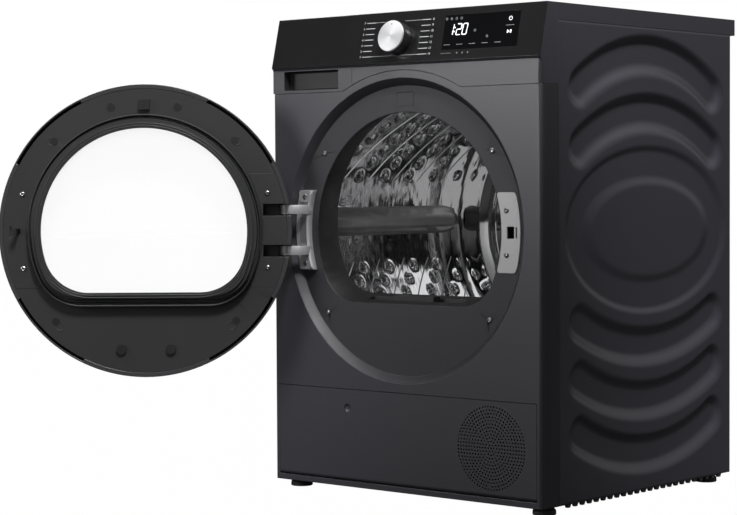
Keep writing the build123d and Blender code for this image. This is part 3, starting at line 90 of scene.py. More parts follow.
def feed(wire, shader, socket):
    wire.tree.links.new(wire.socket, shader.inputs[socket])


def blendColour(factor, first, second):
    return factor.node("ShaderNodeMix", {"data_type": "RGBA"}, {0: factor, 6: first, 7: second}, 2)


def tint(colour, gain):
    return (*[min(1.0, c * gain) for c in colour], 1.0)


def startFinish(name, fixed):
    material = bpy.data.materials.new(name)
    material.use_nodes = True
    tree = material.node_tree
    shader = tree.nodes["Principled BSDF"]
    for socket, value in fixed.items():
        shader.inputs[socket].default_value = value
    place = Wire(tree, tree.nodes.new("ShaderNodeTexCoord").outputs["Object"])
    return material, shader, place


def noise(place, scale, detail=2.0):
    return place.node("ShaderNodeTexNoise", {}, {"Vector": place, "Scale": scale, "Detail": detail})


def relief(place, strength, depth, height):
    return place.node("ShaderNodeBump", {}, {"Strength": strength, "Distance": depth, "Height": height})


def part(place, index):  # one of x, y and z
    return place.node("ShaderNodeSeparateXYZ", {}, {0: place}, index)


# turns the span from low to high into the span from start to end, and stays there past both
def ramp(wire, low, high, start, end, kind="SMOOTHSTEP"):
    sockets = {0: wire, 1: low, 2: high, 3: start, 4: end}
    return wire.node("ShaderNodeMapRange", {"interpolation_type": kind}, sockets)


# a finish with broad mottling, a fine grain, uneven gloss and a little relief
def grainFinish(name, look):
    material, shader, place = startFinish(name, look.get("fixed", {}))
    broad = noise(place, look["broad"], 3.0)
    fine = noise(place, look["fine"])
    mix = broad * 0.5 + fine * 0.5
    darker, lighter = (tint(look["colour"], 1 + sign * look["spread"]) for sign in (-1, 1))
    feed(blendColour(mix, darker, lighter), shader, "Base Color")
    feed((broad + fine - 1.0) * look["roughSpread"] + look["rough"], shader, "Roughness")
    height = fine
    if "streaks" in look:
        drawn = place.node("ShaderNodeVectorMath", {"operation": "MULTIPLY"}, {0: place, 1: look["streaks"]})
        height = noise(drawn, 1.0, 3.0)
    feed(relief(place, look["bump"], look["depth"], height), shader, "Normal")
    return material


commonLook = {"roughSpread": 0.12, "bump": 0.1, "depth": 0.0001}
looks = {
    "anthracitePaint": {"colour": (0.0285, 0.0272, 0.0345), "spread": 0.12, "broad": 2.5, "fine": 1500,
                        "rough": 0.38, "fixed": {"Coat Weight": 0.1, "Coat Roughness": 0.25}},
    "innerDoorPlastic": {"colour": (0.0165, 0.0165, 0.017), "spread": 0.12, "broad": 5, "fine": 1800,
                         "rough": 0.46, "bump": 0.35, "depth": 0.00015},
    "doorRingPlastic": {"colour": (0.03, 0.03, 0.032), "spread": 0.1, "broad": 4, "fine": 900, "rough": 0.3,
                        "roughSpread": 0.1, "bump": 0.06},
    "glossBlack": {"colour": (0.009, 0.009, 0.0095), "spread": 0.15, "broad": 6, "fine": 600, "rough": 0.2,
                   "roughSpread": 0.1, "bump": 0.02, "fixed": {"Coat Weight": 0.4, "Coat Roughness": 0.12}},
    "displayGlass": {"colour": (0.003, 0.003, 0.0035), "spread": 0.2, "broad": 8, "fine": 500, "rough": 0.1,
                     "roughSpread": 0.06, "bump": 0.01},
    "knobBlack": {"colour": (0.012, 0.012, 0.0125), "spread": 0.15, "broad": 20, "fine": 1500,
                  "rough": 0.28, "roughSpread": 0.1, "bump": 0.05},
    "sealRubber": {"colour": (0.022, 0.022, 0.0225), "spread": 0.2, "broad": 12, "fine": 1200,
                   "rough": 0.55, "roughSpread": 0.2, "bump": 0.25, "depth": 0.0002},
    "screwSteel": {"colour": (0.32, 0.32, 0.33), "spread": 0.1, "broad": 60, "fine": 2500, "rough": 0.28,
                   "roughSpread": 0.15, "fixed": {"Metallic": 1.0}},
    "strikeMetal": {"colour": (0.36, 0.36, 0.36), "spread": 0.05, "broad": 15, "fine": 1600, "rough": 0.5,
                    "roughSpread": 0.1, "bump": 0.12, "fixed": {"Metallic": 0.25}},
    "hingeMetal": {"colour": (0.46, 0.46, 0.47), "spread": 0.12, "broad": 25, "fine": 900, "rough": 0.42,
                   "roughSpread": 0.2, "bump": 0.2, "depth": 0.00015, "fixed": {"Metallic": 0.7}},
    "lifterPlastic": {"colour": (0.2, 0.2, 0.204), "spread": 0.06, "broad": 8, "fine": 1100, "rough": 0.26},
    "throatPlastic": {"colour": (0.006, 0.006, 0.0065), "spread": 0.2, "broad": 10, "fine": 1000,
                      "rough": 0.48, "bump": 0.15},
    # darker than the drawer's paint: painted shade inside the finger pocket
    "pocketPaintedShade": {"colour": (0.011, 0.0105, 0.0125), "spread": 0.15, "broad": 10, "fine": 1000,
                      "rough": 0.5, "bump": 0.15},
    "innerPlastic": {"colour": (0.02, 0.02, 0.022), "spread": 0.15, "broad": 10, "fine": 900, "rough": 0.5,
                     "roughSpread": 0.15, "bump": 0.2, "depth": 0.0002},
    "tankPlastic": {"colour": (0.55, 0.56, 0.58), "spread": 0.05, "broad": 8, "fine": 700, "rough": 0.4,
                    "roughSpread": 0.1, "depth": 0.0002},
    "zincSteel": {"colour": (0.48, 0.49, 0.5), "spread": 0.14, "broad": 40, "fine": 160, "rough": 0.42,
                  "roughSpread": 0.3, "bump": 0.06, "depth": 0.0002, "fixed": {"Metallic": 0.9}},
    "feltGrey": {"colour": (0.2, 0.19, 0.18), "spread": 0.3, "broad": 60, "fine": 1600, "rough": 0.95,
                 "roughSpread": 0.1, "bump": 0.8, "depth": 0.0006},
    "beltRubber": {"colour": (0.018, 0.018, 0.018), "spread": 0.2, "broad": 30, "fine": 900, "rough": 0.7,
                   "roughSpread": 0.2, "bump": 0.3, "depth": 0.0003},
    "boardGreen": {"colour": (0.02, 0.12, 0.05), "spread": 0.3, "broad": 60, "fine": 400, "rough": 0.4,
                   "roughSpread": 0.3, "bump": 0.2, "depth": 0.0002},
    "castMetal": {"colour": (0.3, 0.3, 0.31), "spread": 0.15, "broad": 30, "fine": 500, "rough": 0.5,
                  "roughSpread": 0.2, "bump": 0.4, "depth": 0.0004, "fixed": {"Metallic": 0.8}},
    "compressorPaint": {"colour": (0.015, 0.015, 0.017), "spread": 0.2, "broad": 20, "fine": 300,
                        "rough": 0.25, "roughSpread": 0.15, "depth": 0.0003},
    "finAluminium": {"colour": (0.6, 0.61, 0.62), "spread": 0.2, "broad": 40, "fine": 900, "rough": 0.4,
                     "roughSpread": 0.3, "bump": 0.5, "depth": 0.0005, "fixed": {"Metallic": 0.9}},
    "pipeCopper": {"colour": (0.62, 0.29, 0.17), "spread": 0.15, "broad": 40, "fine": 500, "rough": 0.3,
                   "roughSpread": 0.2, "depth": 0.0002, "fixed": {"Metallic": 1.0}},
    "creaseSteel": {"colour": (0.62, 0.62, 0.62), "spread": 0.04, "broad": 14, "fine": 700, "rough": 0.42,
                    "roughSpread": 0.1, "bump": 0.02, "fixed": {"Metallic": 0.8}},
    "drumSteel": {"colour": (0.6, 0.6, 0.605), "spread": 0.05, "broad": 14, "fine": 700, "rough": 0.06,
                  "roughSpread": 0.04, "bump": 0.6, "depth": 0.0006, "streaks": (7.0, 90.0, 7.0),
                  "fixed": {"Metallic": 1.0}},
}
looks = {name: {**commonLook, **look} for name, look in looks.items()}
finishes = {name: grainFinish(name, look) for name, look in looks.items()}


# the front's paint turns darker and duller where the sheet is pressed in round the door
def frontFinish(name, look, recess):
    material = grainFinish(name, look)
    tree = material.node_tree
    shader = tree.nodes["Principled BSDF"]
    place = Wire(tree, tree.nodes.new("ShaderNodeTexCoord").outputs["Object"])
    inside = ramp(part(place, 1) - frontY, recess["from"], recess["to"], 0.0, 1.0, "LINEAR")
    colour = Wire(tree, shader.inputs["Base Color"].links[0].from_socket)
    rough = Wire(tree, shader.inputs["Roughness"].links[0].from_socket)
    feed(blendColour(inside, colour, (*recess["colour"], 1.0)), shader, "Base Color")
    feed(rough + inside * recess["rough"], shader, "Roughness")
    return material


recessLook = {"from": 0.001, "to": 0.012, "colour": (0.015, 0.0145, 0.018), "rough": 0.2}
finishes["frontPaint"] = frontFinish("frontPaint", looks["anthracitePaint"], recessLook)


# clear pane: nearly see-through face on, more reflecting at a slant
def glassFinish(name, look):
    material, shader, place = startFinish(name, look["fixed"])
    slant = place.node("ShaderNodeFresnel", {}, {"IOR": look["slantIndex"]})
    smear = noise(place, look["smearScale"], 4.0)
    feed(slant * look["edge"] + smear * look["smear"] + look["clear"], shader, "Alpha")
    feed(smear * look["roughSpread"] + look["rough"], shader, "Roughness")
    return material


# spun metal: fine rings round the knob's own axis as bumps, and a painted sheen: the colour turns lighter and
# darker in a fan round that axis
def spunFinish(name, look, centre, axis):
    material, shader, place = startFinish(name, look["fixed"])
    offset = place.node("ShaderNodeVectorMath", {"operation": "SUBTRACT"}, {0: place, 1: centre})
    along = offset.node("ShaderNodeVectorMath", {"operation": "DOT_PRODUCT"}, {0: offset, 1: axis}, 1)
    axial = offset.node("ShaderNodeVectorMath", {"operation": "SCALE"}, {0: axis, 3: along})
    across = offset.node("ShaderNodeVectorMath", {"operation": "SUBTRACT"}, {0: offset, 1: axial})
    reach = across.node("ShaderNodeVectorMath", {"operation": "LENGTH"}, {0: across}, 1)
    rings = reach.maths("SINE", reach * look["rings"])
    streak = noise(place, look["streakScale"])
    # painted sheen: a fan of lighter and darker colour round the knob's axis, fixed to the knob
    turn = across.maths("ARCTAN2", part(across, 2), part(across, 0))
    fan = across.maths("COSINE", turn * 2.0 - look["fanTurn"]) * look["fan"]
    share = fan + streak * look["fanStreak"] + look["fanBase"]
    feed(blendColour(share, look["sheenDark"], look["sheenLight"]), shader, "Base Color")
    feed(streak * look["roughSpread"] + look["rough"], shader, "Roughness")
    feed(relief(place, look["bump"], look["depth"], rings + streak * look["ringStreak"]), shader, "Normal")
    return material


def glowFinish(name, colour, strength):
    fixed = {"Base Color": (*colour, 1.0), "Roughness": 0.4, "Emission Strength": strength}
    material, shader, place = startFinish(name, fixed)
    grain = noise(place, 2500)
    feed(blendColour(grain, tint(colour, 0.9), tint(colour, 1.0)), shader, "Emission Color")
    return material


knobTilt = math.atan2(21.6, 89.3)
slopeFoot = Vector((0, frontY - 0.0053, 0.7557))
slopeUp = Vector((0, math.sin(knobTilt), math.cos(knobTilt)))
slopeOut = Vector((0, -math.cos(knobTilt), math.sin(knobTilt)))
knobAt = (-0.006, 0.0415)
knobCentre = slopeFoot + Vector((knobAt[0], 0, 0)) + slopeUp * knobAt[1]
glassLook = {"fixed": {"Base Color": (0.9, 0.9, 0.9, 1.0), "IOR": 1.5, "Coat Weight": 0.3},
             "slantIndex": 1.45, "smearScale": 9, "edge": 0.3, "smear": 0.02, "clear": 0.015,
             "rough": 0.02, "roughSpread": 0.08}
spunLook = {"fixed": {"Metallic": 0.55}, "rings": 16000.0, "streakScale": 900, "fan": 0.4, "fanTurn": 2.2,
            "fanStreak": 0.3, "fanBase": 0.4, "sheenDark": (0.5, 0.5, 0.51, 1), "sheenLight": (0.86, 0.86, 0.87, 1),
            "rough": 0.33, "roughSpread": 0.1, "bump": 0.5, "depth": 0.00006, "ringStreak": 0.4}
finishes["windowGlass"] = glassFinish("windowGlass", glassLook)
# the knob's face: silver with a painted sheen
finishes["knobSilverPaintedSheen"] = spunFinish("knobSilverPaintedSheen", spunLook, knobCentre, slopeOut)
finishes["litDigits"] = glowFinish("litDigits", (0.95, 0.97, 1.0), 1.4)
# the dim marks and the dial's printed numbers glow a little though they are no lamps: painted light
finishes["dimMarksGlow"] = glowFinish("dimMarksGlow", (0.3, 0.3, 0.31), 0.25)
finishes["dialPrintGlow"] = glowFinish("dialPrintGlow", (0.55, 0.55, 0.56), 0.25)
print("finishes made:", len(finishes))


# finishes and softened edges on the nodes that show as they are
nodeFinish = {
    "anthracitePaint": ["upper_front_panel", "lid", "tank_front"],
    "frontPaint": ["front_panel", "recess_plug"],
    "innerDoorPlastic": ["door_inner_frame", "hinge_cover", "latch_cover"],
    "doorRingPlastic": ["door_outer_ring"],
    "glossBlack": ["control_fascia", "tank_fascia"],
    "displayGlass": ["display_window"],
    "windowGlass": ["door_glass", "door_outer_glass"],
    "sealRubber": ["door_seal", "foot_front_left", "foot_front_right", "foot_rear_left", "foot_rear_right"],
    "screwSteel": ["front_screws", "door_screws", "hinge_pin"],
    "strikeMetal": ["strike_plate"],
    "hingeMetal": ["hinge_bracket"],
    "drumSteel": ["drum_shell", "drum_back"],
    "lifterPlastic": ["lifters"],
    "throatPlastic": ["door_buffers", "throat_collar", "latch_hook", "door_lock", "lint_filter"],
    "innerPlastic": ["tank_housing", "fan_housing", "fan_wheel", "idler_pulley", "drum_roller_left",
                     "drum_roller_right", "mains_inlet", "drain_spigot"],
    "tankPlastic": ["water_tank"],
    "zincSteel": ["base_pan", "front_bulkhead", "rear_panel", "bearing_bridge", "rear_duct_cover"],
    "feltGrey": ["drum_felt"],
    "beltRubber": ["drive_belt"],
    "boardGreen": ["control_board"],
    "castMetal": ["motor", "motor_shaft", "drum_shaft"],
    "compressorPaint": ["compressor"],
    "finAluminium": ["evaporator", "condenser"],
    "pipeCopper": ["refrigerant_pipes"],
    "knobBlack": ["program_knob"],
}
for finish, names in nodeFinish.items():
    for name in names:
        nodes[name].data.materials.clear()
        nodes[name].data.materials.append(finishes[finish])

softEdges = {  # bevel width in millimetres
    "front_panel": 1.0, "upper_front_panel": 0.5, "lid": 2.0, "tank_front": 0.8, "control_fascia": 0.7,
    "tank_fascia": 2.0, "door_inner_frame": 0.8, "hinge_cover": 0.5, "latch_cover": 0.5,
    "door_outer_ring": 1.6, "door_buffers": 0.8, "hinge_bracket": 1.2, "throat_collar": 0.8,
    "rear_duct_cover": 0.8, "mains_inlet": 0.8, "latch_hook": 0.5, "lint_filter": 0.8,
}
weldReach = 0.00002


def addBevel(piece, width, segments=2, angle=35):
    edge = piece.modifiers.new("edge", "BEVEL")
    edge.width = width * mm
    edge.segments = segments
    edge.limit_method = "ANGLE"
    edge.angle_limit = math.radians(angle)
    edge.harden_normals = True


for name, width in softEdges.items():
    weld = nodes[name].modifiers.new("weld", "WELD")
    weld.merge_threshold = weldReach
    addBevel(nodes[name], width, 3, 32)
print("nodes finished")


# building blocks
def makePiece(name, form, body, slot, finish, sharp=35, stands=()):
    verts, faces = form
    mesh = bpy.data.meshes.new(name)
    mesh.from_pydata([tuple(v) for v in verts], [], faces)
    mesh.polygons.foreach_set("use_smooth", [True] * len(mesh.polygons))
    mesh.set_sharp_from_angle(angle=math.radians(sharp))
    mesh.materials.append(finishes[finish])
    piece = bpy.data.objects.new(name, mesh)
    bpy.context.scene.collection.objects.link(piece)
    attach(piece, body)
    if stands:
        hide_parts(*stands)
    return piece


def solidPiece(*details):  # a piece whose faces are then all turned outwards
    piece = makePiece(*details)
    work = bmesh.new()
    work.from_mesh(piece.data)
    bmesh.ops.recalc_face_normals(work, faces=work.faces[:])
    work.to_mesh(piece.data)
    work.free()
    return piece


def joined(*parts):
    verts, faces = [], []
    for partVerts, partFaces in parts:
        start = len(verts)
        verts += partVerts
        faces += [tuple(start + i for i in face) for face in partFaces]
    return verts, faces


# flat plate with holes: loops in (u, v), w runs from 0 back to -thick
# a triangle with all its points on one hole lies inside that hole, so it is left out
def plate(outline, holes, thick, place):
    points, edges, loopOf = [], [], []
    for number, loop in enumerate([outline, *holes]):
        start = len(points)
        points += [Vector(p) for p in loop]
        edges += [(start + i, start + (i + 1) % len(loop)) for i in range(len(loop))]
        loopOf += [number] * len(loop)
    flat, _, triangles, sources = delaunay_2d_cdt(points, edges, [], 1, 1e-7)[:4]
    owner = [loopOf[source[0]] for source in sources]
    triangles = [t for t in triangles if owner[t[0]] == 0 or len({owner[i] for i in t}) > 1]
    count = len(flat)
    verts = [place(p.x, p.y, 0.0) for p in flat] + [place(p.x, p.y, -thick) for p in flat]
    faces = [tuple(t) for t in triangles] + [tuple(count + i for i in reversed(t)) for t in triangles]
    used = {(t[i - 1], t[i]): True for t in triangles for i in (1, 2, 0)}
    faces += [(b, a, count + a, count + b) for a, b in used if (b, a) not in used]
    return verts, faces


def polar(reach, angle):
    return reach * math.cos(angle), reach * math.sin(angle)


def evenly(start, end, steps):
    return [start + (end - start) * i / steps for i in range(steps + 1)]


def around(count, shift=0.0):  # angles of a full turn
    return [2 * math.pi * (i + shift) / count for i in range(count)]


def ringLoop(u, v, radius, count):
    return [(u + c, v + s) for c, s in (polar(radius, a) for a in around(count))]


def roundedLoop(corners, radii, steps=6):
    loop = []
    count = len(corners)
    for i, corner in enumerate(corners):
        here = Vector(corner)
        if not radii[i]:
            loop.append(tuple(here))
            continue
        before = (Vector(corners[i - 1]) - here).normalized()
        after = (Vector(corners[(i + 1) % count]) - here).normalized()
        first, last = here + before * radii[i], here + after * radii[i]
        for k in range(steps + 1):
            t = k / steps
            loop.append(tuple(first * (1 - t) ** 2 + here * 2 * t * (1 - t) + last * t * t))
    return loop


def boxLoop(u, v, width, height, radius):
    x, y = width / 2, height / 2
    return roundedLoop([(u - x, v - y), (u + x, v - y), (u + x, v + y), (u - x, v + y)], [radius] * 4, 5)


# turned form: profile of (along, radius) pairs, closed on the axis where the radius is 0
def turned(profile, count, place):
    verts, faces, rows = [], [], []
    for along, radius in profile:
        if radius == 0:
            rows.append([len(verts)] * count)
            verts.append(place(along, 0.0, 0.0))
        else:
            rows.append(list(range(len(verts), len(verts) + count)))
            verts += [place(along, *polar(radius, a)) for a in around(count)]
    for lower, upper in zip(rows, rows[1:]):
        for i in range(count):
            k = (i + 1) % count
            face = tuple(dict.fromkeys([lower[i], lower[k], upper[k], upper[i]]))
            if len(face) > 2:
                faces.append(face)
    return verts, faces


def gridFaces(rows, columns, flip=False, closed=False):
    faces = []
    for i in range(rows - 1):
        for j in range(columns if closed else columns - 1):
            k = (j + 1) % columns
            face = (i * columns + j, (i + 1) * columns + j, (i + 1) * columns + k, i * columns + k)
            faces.append(face[::-1] if flip else face)
    return faces


def smooth(t):
    t = max(0.0, min(1.0, t))
    return t * t * (3 - 2 * t)


# cross-section of a low rib: places from -1 to 1
def ribShares(count):
    return [(step - count // 2) / (count // 2) for step in range(count)]


# round outline with a flat foot: points and outward normals, the same count for every size
def doorLoop(radius, flat, corner, arcSteps=72, cornerSteps=10, flatSteps=12):
    rise = corner - flat
    reach = math.sqrt((radius - corner) ** 2 - rise ** 2)
    lean = math.atan2(rise, reach)
    loop = []
    for a in evenly(lean, math.pi - lean, arcSteps)[:-1]:
        loop.append((polar(radius, a), polar(1, a)))
    for a in evenly(math.pi - lean, 1.5 * math.pi, cornerSteps)[:-1]:
        n = polar(1, a)
        loop.append(((-reach + corner * n[0], rise + corner * n[1]), n))
    for u in evenly(-reach, reach, flatSteps)[:-1]:
        loop.append(((u, -flat), (0.0, -1.0)))
    for a in evenly(1.5 * math.pi, 2 * math.pi + lean, cornerSteps)[:-1]:
        n = polar(1, a)
        loop.append(((reach + corner * n[0], rise + corner * n[1]), n))
    return loop


def onFront(setback):  # u right, v up, w out of the front; v counts from the floor
    return lambda u, v, w: Vector((u, frontY + setback - w, v))


def onMouth(setback):  # the same, with v counted from the drum's centre
    return lambda u, v, w: Vector((u, frontY + setback - w, doorZ + v))


def onSlope(u, v, w):  # u right, v up the control panel, w out of it
    return slopeFoot + Vector((u, 0, 0)) + slopeUp * v + slopeOut * w


hinge = {"spot": Vector((-0.247, frontY - 0.027, 0)), "open": -139}
doorTurn = Matrix.Rotation(math.radians(hinge["open"]), 4, "Z")
doorOpen = Matrix.Translation(hinge["spot"]) @ doorTurn @ Matrix.Translation(-hinge["spot"])


def onDoor(setback):  # u right and v up from the door's centre as if shut, w towards the cabinet
    return lambda u, v, w: doorOpen @ Vector((u, frontY + setback + w, doorZ + v))


def screwOn(place, u, v):  # a turned form that stands on a face
    return lambda along, c, s: place(u + c, v + s, along)


print("helpers ready")

# side panels with their pressed-in bows and oval
sidePress = {
    "centre": 0.31625, "upperRadius": 0.375, "lowerRadius": 0.45, "bowHalf": 0.205, "band": 0.027,
    "upperSlope": 0.015, "lowerSlope": 0.024, "depth": 0.0108, "upperBows": [0.770, 0.670],
    "lowerBows": [0.266, 0.172, 0.079], "ovalZ": 0.467, "outerOval": (0.246, 0.141),
    "innerOval": (0.186, 0.085), "ovalDepth": 0.0045, "ovalSlope": (0.010, 0.016),
    "columns": 150, "rows": 224, "setbacks": (0.0495, 0.583), "heights": (0.015, 0.8163),
    "half": 0.299, "fold": 0.0009, "turn": 0.013, "sheet": 0.0012,
}


def pressDepth(setback, z):
    p = sidePress
    across = setback - p["centre"]
    deep = 0.0
    bows = [(apex, 1, p["upperRadius"]) for apex in p["upperBows"]]
    bows += [(apex, -1, p["lowerRadius"]) for apex in p["lowerBows"]]
    for apex, sign, radius in bows:
        limit = math.asin(p["bowHalf"] / radius)
        up = sign * (z - apex) + radius
        angle = math.atan2(across, up)
        if abs(angle) < limit:
            offset = math.hypot(across, up) - radius
            far, high = abs(offset), sign * offset / p["band"]
        else:
            endX = math.copysign(p["bowHalf"], across)
            endUp = up - radius * math.cos(limit)
            far, high = math.hypot(across - endX, endUp), sign * endUp / p["band"]
        slope = p["lowerSlope"] + (p["upperSlope"] - p["lowerSlope"]) * smooth(0.5 + high)
        deep = max(deep, p["depth"] * smooth((p["band"] + slope / 2 - far) / slope))
    ovals = []
    for (a, b), slope in zip((p["outerOval"], p["innerOval"]), p["ovalSlope"]):
        ratio = math.hypot(across / a, (z - p["ovalZ"]) / b)
        ovals.append(smooth(0.5 + (1 - ratio) * min(a, b) / slope))
    return max(deep, p["ovalDepth"] * (ovals[0] - ovals[1]))


# the sheet's lines one way, with a folded edge at both ends, and how far each lies inwards
def sheetLines(start, end, count):
    fold, turn = sidePress["fold"], sidePress["turn"]
    inner = evenly(start + fold, end - fold, count)
    return zip([start, start, *inner, end, end], [turn, fold, *[0.0] * (count + 1), fold, turn])


def sidePanel(name, sign, node):
    p = sidePress
    setbacks = list(sheetLines(*p["setbacks"], p["columns"]))
    heights = list(sheetLines(*p["heights"], p["rows"]))
    verts = []
    for setback, sideInset in setbacks:
        for z, endInset in heights:
            deep = max(sideInset, endInset) or pressDepth(setback, z)
            verts.append(Vector((sign * (p["half"] - deep), frontY + setback, z)))
    faces = gridFaces(len(setbacks), len(heights), flip=sign < 0)
    piece = makePiece(name, (verts, faces), "cabinet", "anthracite_paint", "anthracitePaint", 60, [node])
    sheet = piece.modifiers.new("sheet", "SOLIDIFY")
    sheet.thickness = p["sheet"]
    sheet.offset = -1


sidePanel("sideSheetRight", 1, "right_side_panel")
sidePanel("sideSheetLeft", -1, "left_side_panel")
print("side panels pressed")

# service flap with its round grille of small holes and a finger dish
flapLook = {"halfWidth": 0.288, "low": 0.032, "high": 0.187, "corner": 0.003, "thick": 0.003,
            "finger": (-0.1246, 0.154, 0.008), "grille": (0.194, 0.108), "rings": 12, "pitch": 0.0058,
            "hole": 0.0017, "roll": 0.006, "rollEdge": 0.0005, "pin": 0.003, "pinEnds": (0.293, 0.287),
            "dish": [(0.0024, 0), (0.0022, 0.004), (0.0016, 0.0066), (0.0007, 0.0079), (0.0028, 0.008),
                     (0.003, 0)]}
grilleX, grilleZ = flapLook["grille"]
holes = [ringLoop(*flapLook["finger"], 28), ringLoop(grilleX, grilleZ, flapLook["hole"], 8)]
for ring in range(1, flapLook["rings"] + 1):
    for a in around(6 * ring):
        u, v = polar(ring * flapLook["pitch"], a)
        holes.append(ringLoop(grilleX + u, grilleZ + v, flapLook["hole"], 8))
wide, low, high = (flapLook[k] for k in ("halfWidth", "low", "high"))
flapCorners = [(-wide, low), (wide, low), (wide, high), (-wide, high)]
flapOutline = roundedLoop(flapCorners, [0, 0, flapLook["corner"], flapLook["corner"]])
flapPlate = plate(flapOutline, holes, flapLook["thick"], onFront(0))


def onFlapRoll(along, c, s):
    return Vector((along, frontY + flapLook["roll"] + c, flapLook["low"] + s))


rollRadius, edge = flapLook["roll"], flapLook["rollEdge"]
rollHalf = [(wide - edge, rollRadius), (wide, rollRadius - edge), (wide, 0)]
roll = turned([(-along, radius) for along, radius in reversed(rollHalf)] + rollHalf, 28, onFlapRoll)
pinTip, pinFoot = flapLook["pinEnds"]
pinProfile = [(pinTip, 0), (pinTip, flapLook["pin"]), (pinFoot, flapLook["pin"])]
pins = [turned([(sign * along, radius) for along, radius in pinProfile], 16, onFlapRoll) for sign in (-1, 1)]
fingerX, fingerZ, _ = flapLook["finger"]
dish = turned(flapLook["dish"], 28, lambda along, c, s: onFront(0)(fingerX + c, fingerZ + s, -along))
flapForm = joined(flapPlate, roll, *pins, dish)
solidPiece("flapWithGrille", flapForm, "flap", "anthracite_paint", "anthracitePaint", 30, ["service_flap"])
print("flap drilled:", len(holes), "holes")

# control panel: lit digits, symbols and the dial's numbers
printLift = 0.00012


def flatOnSlope(loops):  # each loop becomes one thin face just proud of the panel
    parts = []
    for loop in loops:
        parts.append(([onSlope(u, v, printLift) for u, v in loop], [tuple(range(len(loop)))]))
    return joined(*parts)


def bar(u0, v0, u1, v1, width):
    along = (Vector((u1, v1)) - Vector((u0, v0))).normalized()
    x, y = -along.y * width / 2, along.x * width / 2
    return [(u0 - x, v0 - y), (u1 - x, v1 - y), (u1 + x, v1 + y), (u0 + x, v0 + y)]


def arcBand(u, v, radius, width, start, end, steps):
    angles = [math.radians(a) for a in evenly(start, end, steps)]
    inner, outer = ([polar(radius + sign * width / 2, a) for a in angles] for sign in (-1, 1))
    quads = zip(inner, outer, outer[1:], inner[1:])
    return [[(u + c, v + s) for c, s in quad] for quad in quads]


clock = {"low": 0.0437, "height": 0.0188, "width": 0.0092, "stroke": 0.0014, "lean": 0.1,
         "cells": [("1", 0.1015), ("2", 0.1180), ("0", 0.1306)], "colon": 0.1136, "colonRises": (0.3, 0.68),
         "colonRadius": 0.0011, "gap": 0.00022}
segments = {"1": "bc", "2": "abged", "0": "abcdef"}


def segmentLoops(digit, left):
    w, h, k, gap = clock["width"], clock["height"], clock["stroke"] / 2, clock["gap"]
    m = h / 2
    level = {"a": h, "g": m, "d": 0}
    upright = {"b": (w, m), "c": (w, 0), "e": (0, 0), "f": (0, m)}
    loops = []
    for key in segments[digit]:
        if key in level:
            x0, x1, y = gap, w - gap, level[key]
            loop = [(x0, y), (x0 + k, y - k), (x1 - k, y - k), (x1, y), (x1 - k, y + k), (x0 + k, y + k)]
        else:
            x, foot = upright[key]
            y0, y1 = foot + gap, foot + m - gap
            loop = [(x, y0), (x + k, y0 + k), (x + k, y1 - k), (x, y1), (x - k, y1 - k), (x - k, y0 + k)]
        loops.append([(left + x + clock["lean"] * y, clock["low"] + y) for x, y in loop])
    return loops


litLoops = [loop for digit, left in clock["cells"] for loop in segmentLoops(digit, left)]
for rise in clock["colonRises"]:
    v = clock["height"] * rise
    litLoops.append(ringLoop(clock["colon"] + clock["lean"] * v, clock["low"] + v, clock["colonRadius"], 12))
makePiece("displayDigits", flatOnSlope(litLoops), "cabinet", "display_glass", "litDigits")

keys = {"x": 0.2302, "power": 0.0665, "play": 0.0443, "radius": 0.0032, "stroke": 0.00065,
        "stem": (0.0008, 0.0042), "playHalf": 0.0029, "playEnds": (-0.0040, 0.0008),
        "pauses": (0.0022, 0.0042), "pauseStroke": 0.0008, "powerArc": (120, 420)}
x, power, play, playHalf = (keys[k] for k in ("x", "power", "play", "playHalf"))
keyLoops = arcBand(x, power, keys["radius"], keys["stroke"], *keys["powerArc"], 24)
keyLoops.append(bar(x, power + keys["stem"][0], x, power + keys["stem"][1], keys["stroke"]))
back, tip = keys["playEnds"]
keyLoops.append([(x + back, play - playHalf), (x + tip, play), (x + back, play + playHalf)])
for u in keys["pauses"]:
    keyLoops.append(bar(x + u, play - playHalf, x + u, play + playHalf, keys["pauseStroke"]))
makePiece("displayKeys", flatOnSlope(keyLoops), "cabinet", "display_glass", "litDigits")

marks = {"lines": [(0.2215, 0.2392, 0.0549, 0.0005), (0.0915, 0.1135, 0.0121, 0.0004)],
         "rings": [(0.0945, 0.0723), (0.105, 0.0723), (0.1155, 0.0723), (0.1262, 0.0723), (0.1582, 0.0498),
                   (0.1855, 0.0381)],
         "ring": (0.0019, 0.0006), "dots": [(0.1262, 0.0121), (0.1378, 0.0121), (0.1492, 0.0121)],
         "dot": (0.0011, 0.0005), "options": 5, "optionFrom": 0.0955, "optionPitch": 0.0268,
         "optionWidth": 0.013, "optionRise": 0.0268, "optionStroke": 0.0006}
dimLoops = [bar(start, v, end, v, stroke) for start, end, v, stroke in marks["lines"]]
for spots, size, steps in ((marks["rings"], marks["ring"], 18), (marks["dots"], marks["dot"], 12)):
    for spot in spots:
        dimLoops += arcBand(*spot, *size, 0, 360, steps)
for i in range(marks["options"]):
    u, v = marks["optionFrom"] + marks["optionPitch"] * i, marks["optionRise"]
    dimLoops.append(bar(u, v, u + marks["optionWidth"], v, marks["optionStroke"]))
makePiece("displayMarks", flatOnSlope(dimLoops), "cabinet", "display_glass", "dimMarksGlow")

dial = {"rows": 7, "low": 0.0132, "high": 0.0742, "left": {"number": -0.0885, "bar": (-0.0840, -0.0640)},
        "right": {"number": 0.0655, "bar": (0.0400, 0.0600)}, "size": 0.0056, "bar": 0.0009,
        "line": 0.0004, "lineEnd": 0.008}


